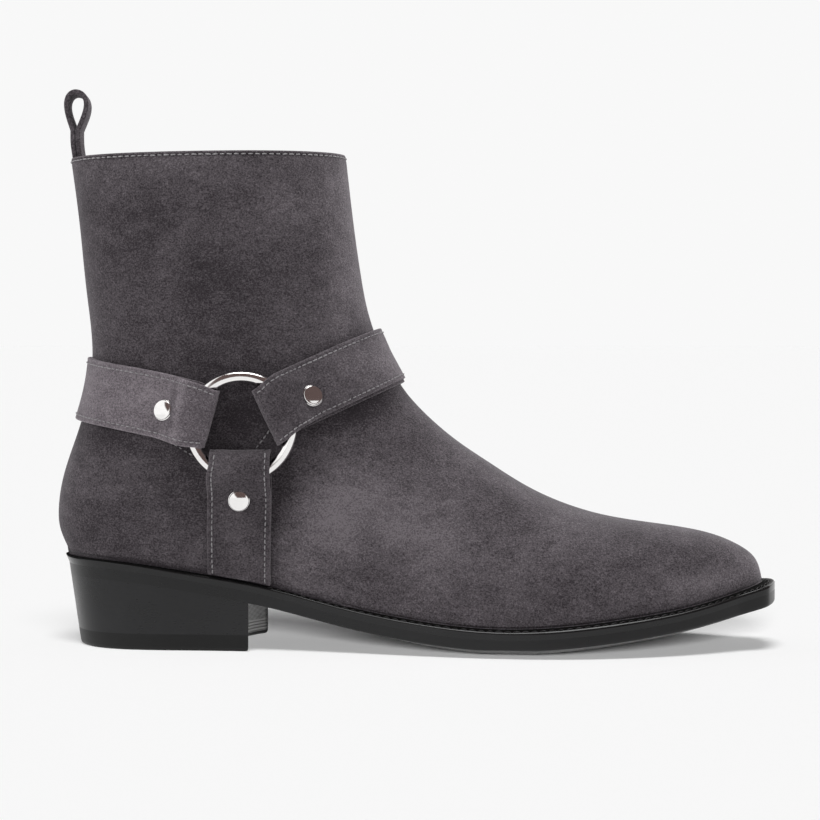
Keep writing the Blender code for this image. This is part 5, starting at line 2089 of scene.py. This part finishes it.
@dataclass
class PullLoop:
    """The strip sewn inside the back of the collar and turned over to a loop."""

    last: Last
    wardrobe: Wardrobe
    strip: float = 0.0021
    width: float = 0.009
    eye_half: float = 0.0029
    eye_front: float = 1.22
    eye_top: float = 0.2327
    eye_foot: float = 0.2175
    stem_foot: float = 0.192
    collar_x: float = 0.0060
    stem_lean: float = -0.119
    head_x: float = 0.0050
    bend: float = 0.012
    fullness: float = 1.3
    turn: float = -0.04
    dip: float = 0.10
    edge_round: float = 0.00055

    def middle_x(self, z: Array) -> Array:
        """The loop's middle line: along the inside of the wall, then back over the collar."""
        stem = self.collar_x + self.stem_lean * (z - self.last.shaft_height)
        return stem + smooth((z - self.last.shaft_height) / self.bend) * (self.head_x - stem)

    def path(self) -> Array:
        """The strip's inner face in the side view, up one side, over and down the other.

        Returns:
            Points of (x, z).
        """
        share = (1 - np.cos(np.linspace(0, math.pi, 61))) / 2
        full = self.fullness / (self.fullness + 0.5)
        most = full**self.fullness * math.sqrt(1 - full)
        half = self.eye_half * share**self.fullness * np.sqrt(1 - share) / most
        height = self.eye_foot + share * (self.eye_top - self.eye_foot)
        stem = np.linspace(self.stem_foot, self.eye_foot, 16)[:-1]
        half = np.concatenate((np.full_like(stem, 0.00004), np.maximum(half[:-1], 0.00004)))
        height = np.concatenate((stem, height[:-1]))
        left = joined(-half, height)
        right = joined(self.eye_front * half[::-1], height[::-1])
        line = np.concatenate((left, [(0.0, self.eye_top)], right))
        for _ in range(2):
            line[1:-1] = (line[:-2] + 2 * line[1:-1] + line[2:]) / 4
        return line

    def build(self) -> None:
        """Builds the loop."""
        line = self.path()
        ahead = unit(np.gradient(line, axis=0))
        out = joined(-ahead[:, 1], ahead[:, 0])
        r, half = self.edge_round, self.width / 2
        turns = np.radians(np.linspace(0, 90, 5))
        corner = [(half - r + r * math.sin(a), r - r * math.cos(a)) for a in turns]
        around = corner + [(w, self.strip - d) for w, d in reversed(corner)]
        around += [(-w, self.strip - d) for w, d in corner] + [(-w, d) for w, d in reversed(corner)]
        sections = []
        for w, depth in around:
            x, z = (line + out * depth).T
            free = smooth((z - self.eye_foot) / self.bend)
            across = joined(self.turn * free, np.ones_like(x), -self.dip * free)
            sections.append(joined(self.middle_x(z) + x, np.zeros_like(x), z) + w * across)
        points = np.array(sections).transpose(1, 0, 2)
        count = len(around)
        faces = grid_faces(len(line), count, False, True).tolist()
        faces += [list(range(count)), [(len(line) - 1) * count + i for i in range(count)]]
        piece = Piece("pull_loop_suede")
        piece.add(points, faces)
        dress(piece.finish(self.wardrobe["suede_pull_loop"], sharp=50), "suede", "pull_loop")


class Lamp(NamedTuple):
    """A soft box: where it hangs and what it aims at in the last's frame, its sides, its power."""

    name: str
    place: tuple[float, float, float]
    aim: tuple[float, float, float]
    wide: float
    high: float
    power: float


class Sun(NamedTuple):
    """Light on the floor from the front: height and softness in degrees, power.

    A low one is stopped by the outsole only, so that no long shadow of the boot shows.
    """

    name: str
    height: float
    soft: float
    power: float
    low: bool


@dataclass
class Studio:
    """A pale floor, soft light and a camera at the photograph's angle."""

    focal_px: float = 2336.0
    frame_px: float = 820.0
    sensor: float = 36.0
    distance: float = 0.990
    height: float = 0.130
    centre_x: float = 0.1473
    turn_deg: float = 4.0
    horizon_px: float = 337.0
    floor_half: float = 30.0
    floor_white: float = 0.94
    room_front: float = 0.05
    room_back: float = 0.10
    suns: tuple[Sun, ...] = (
        Sun("floor_key", 68.0, 24.0, 1.80, False),
        Sun("floor_low", 12.0, 12.0, 5.70, True),
    )
    wall: float = 1.1
    dusk: Colour = (0.12, 0.085, 0.08)
    behind: Colour = (0.04, 0.035, 0.035)
    overhead: float = 7.0
    lamps: tuple[Lamp, ...] = (
        Lamp("top_box", (0.15, 0.10, 1.3), (0.15, 0.0, 0.08), 1.2, 0.9, 11.5),
        Lamp("toe_box", (1.20, -0.10, 0.75), (0.15, 0.0, 0.10), 0.6, 0.9, 7.0),
        Lamp("front_box", (0.10, -1.4, 0.9), (0.14, 0.0, 0.10), 1.2, 0.9, 3.5),
        Lamp("heel_box", (-0.9, -0.75, 0.55), (0.05, 0.0, 0.09), 0.7, 0.9, 8.5),
        Lamp("rim_box", (1.1, 0.9, 0.45), (0.12, 0.0, 0.13), 0.8, 0.8, 12.0),
    )

    def camera(self) -> None:
        """Puts the camera where the photograph was taken from."""
        data = bpy.data.cameras.new("camera")
        data.sensor_width = self.sensor
        data.lens = self.focal_px / self.frame_px * self.sensor
        turn = math.radians(self.turn_deg)
        pitch = math.atan((self.frame_px / 2 - self.horizon_px) / self.focal_px)
        camera = bpy.data.objects.new("camera", data)
        across, back = self.distance * math.sin(turn), -self.distance * math.cos(turn)
        camera.location = Vector(np.array((self.centre_x + across, back, self.height)) + STEP)
        level = math.cos(pitch)
        look = Vector((-math.sin(turn) * level, math.cos(turn) * level, -math.sin(pitch)))
        camera.rotation_euler = look.to_track_quat("-Z", "Y").to_euler()
        bpy.context.scene.collection.objects.link(camera)
        bpy.context.scene.camera = camera

    def floor(self) -> Object:
        """A wide pale floor under the boot.

        Returns:
            The floor.
        """
        mesh = bpy.data.meshes.new("floor")
        s = self.floor_half
        mesh.from_pydata([(-s, -s, 0.0), (s, -s, 0.0), (s, s, 0.0), (-s, s, 0.0)], [], [(0, 1, 2, 3)])
        floor = bpy.data.objects.new("floor", mesh)
        material = bpy.data.materials.new("pale_floor")
        material.use_nodes = True
        plain = {"Base Color": rgba((self.floor_white,) * 3), "Roughness": 1.0, "Specular IOR Level": 0.0}
        Graph(material.node_tree).set(material.node_tree.nodes["Principled BSDF"], plain)
        mesh.materials.append(material)
        bpy.context.scene.collection.objects.link(floor)
        floor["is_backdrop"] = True
        return floor

    def hang(
        self, data: Light, place: Sequence[float], aim: Sequence[float], lit: Collection
    ) -> Object:
        """Hangs a lamp that mirrors do not show.

        Args:
            data: the lamp.
            place: where it hangs in the last's frame.
            aim: what it points at.
            lit: all that it lights.

        Returns:
            The lamp.
        """
        box = bpy.data.objects.new(data.name, data)
        box.location = Vector(np.array(place) + STEP)
        box.rotation_euler = Vector(np.array(aim) - np.array(place)).to_track_quat("-Z", "Y").to_euler()
        box.visible_glossy = False
        bpy.context.scene.collection.objects.link(box)
        box.light_linking.receiver_collection = lit
        return box

    def light(self, boot: Collection, floor: Collection, sole: Collection) -> None:
        """Lights the boot with soft boxes and the floor from the front, so that its shadow falls back.

        Args:
            boot: the boot's pieces.
            floor: the floor.
            sole: what stops low light.
        """
        for lamp in self.lamps:
            data = bpy.data.lights.new(lamp.name, "AREA")
            data.shape = "RECTANGLE"
            data.size, data.size_y = lamp.wide, lamp.high
            data.energy = lamp.power
            self.hang(data, lamp.place, lamp.aim, boot)
        for sun in self.suns:
            data = bpy.data.lights.new(sun.name, "SUN")
            data.energy = sun.power
            data.angle = math.radians(sun.soft)
            rise = math.radians(sun.height)
            box = self.hang(data, (0.0, -math.cos(rise), math.sin(rise)), (0.0, 0.0, 0.0), floor)
            if sun.low:
                box.light_linking.blocker_collection = sole

    def room(self) -> None:
        """A pale room: even to the eye, dimmer in front, and dusky above in mirrors."""
        world = bpy.data.worlds.new("room")
        world.use_nodes = True
        bpy.context.scene.world = world
        graph = Graph(world.node_tree)
        rays = graph.add("ShaderNodeLightPath")
        way = graph.add("ShaderNodeTexCoord").outputs["Generated"]
        parts = graph.add("ShaderNodeSeparateXYZ", {0: way}).outputs
        front, back, white = (rgba((v,) * 3) for v in (self.room_front, self.room_back, self.floor_white))
        walls = graph.mix(graph.spread(parts["Y"], -0.9, 0.1), front, back)
        lean = graph.weighed((parts["X"], 0.85), (parts["Z"], 0.9), (parts["Y"], -0.45))
        mirrored = graph.mix(graph.spread(lean, 0.36, 0.48), rgba((self.wall,) * 3), rgba(self.dusk))
        behind = graph.weighed((parts["X"], -0.6), (parts["Y"], 0.8))
        mirrored = graph.mix(graph.spread(behind, 0.62, 0.80), mirrored, rgba(self.behind))
        mirrored = graph.mix(graph.spread(parts["Z"], 0.93, 0.98), mirrored, rgba((self.overhead,) * 3))
        shown = graph.mix(rays.outputs["Is Glossy Ray"], walls, mirrored)
        seen = graph.mix(rays.outputs["Is Camera Ray"], shown, white)
        graph.set(world.node_tree.nodes["Background"], {"Color": seen})

    def build(self) -> None:
        """Sets the stage round the finished boot."""
        scene = bpy.context.scene
        scene.view_settings.view_transform = "Standard"
        names = ("boot_lit", "floor_lit", "low_stop")
        boot, ground, sole = (bpy.data.collections.new(name) for name in names)
        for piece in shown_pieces():
            boot.objects.link(piece)
        ground.objects.link(self.floor())
        sole.objects.link(bpy.data.objects["outsole_leather"])
        self.light(boot, ground, sole)
        self.room()
        self.camera()


def main() -> None:
    """Builds the boot piece by piece, then the studio round it."""
    logging.basicConfig(level=logging.INFO, format="%(message)s")
    last, wardrobe = Last(), Wardrobe()
    upper, harness, sole = Upper(last, wardrobe), Harness(last, wardrobe), Sole(last, wardrobe)
    upper.build()
    sole.build()
    PullLoop(last, wardrobe).build()
    harness.build()
    row = StitchRow()
    grey, black = wardrobe["grey_thread"], wardrobe["black_thread"]
    collar = {"pitch": 0.0029, "length": 0.0020, "thread": 0.0003, "bow": 0.0004}
    welt = {"pitch": 0.0036, "length": 0.0031, "thread": 0.0003}
    dress(row.sew("strap_stitches", harness.seams, grey))
    dress(row.sew("collar_stitches", [upper.collar_path()], grey, **collar))
    dress(row.sew("welt_stitches", [sole.welt_path()], black, **welt))
    Studio().build()


if __name__ == "__main__":
    main()
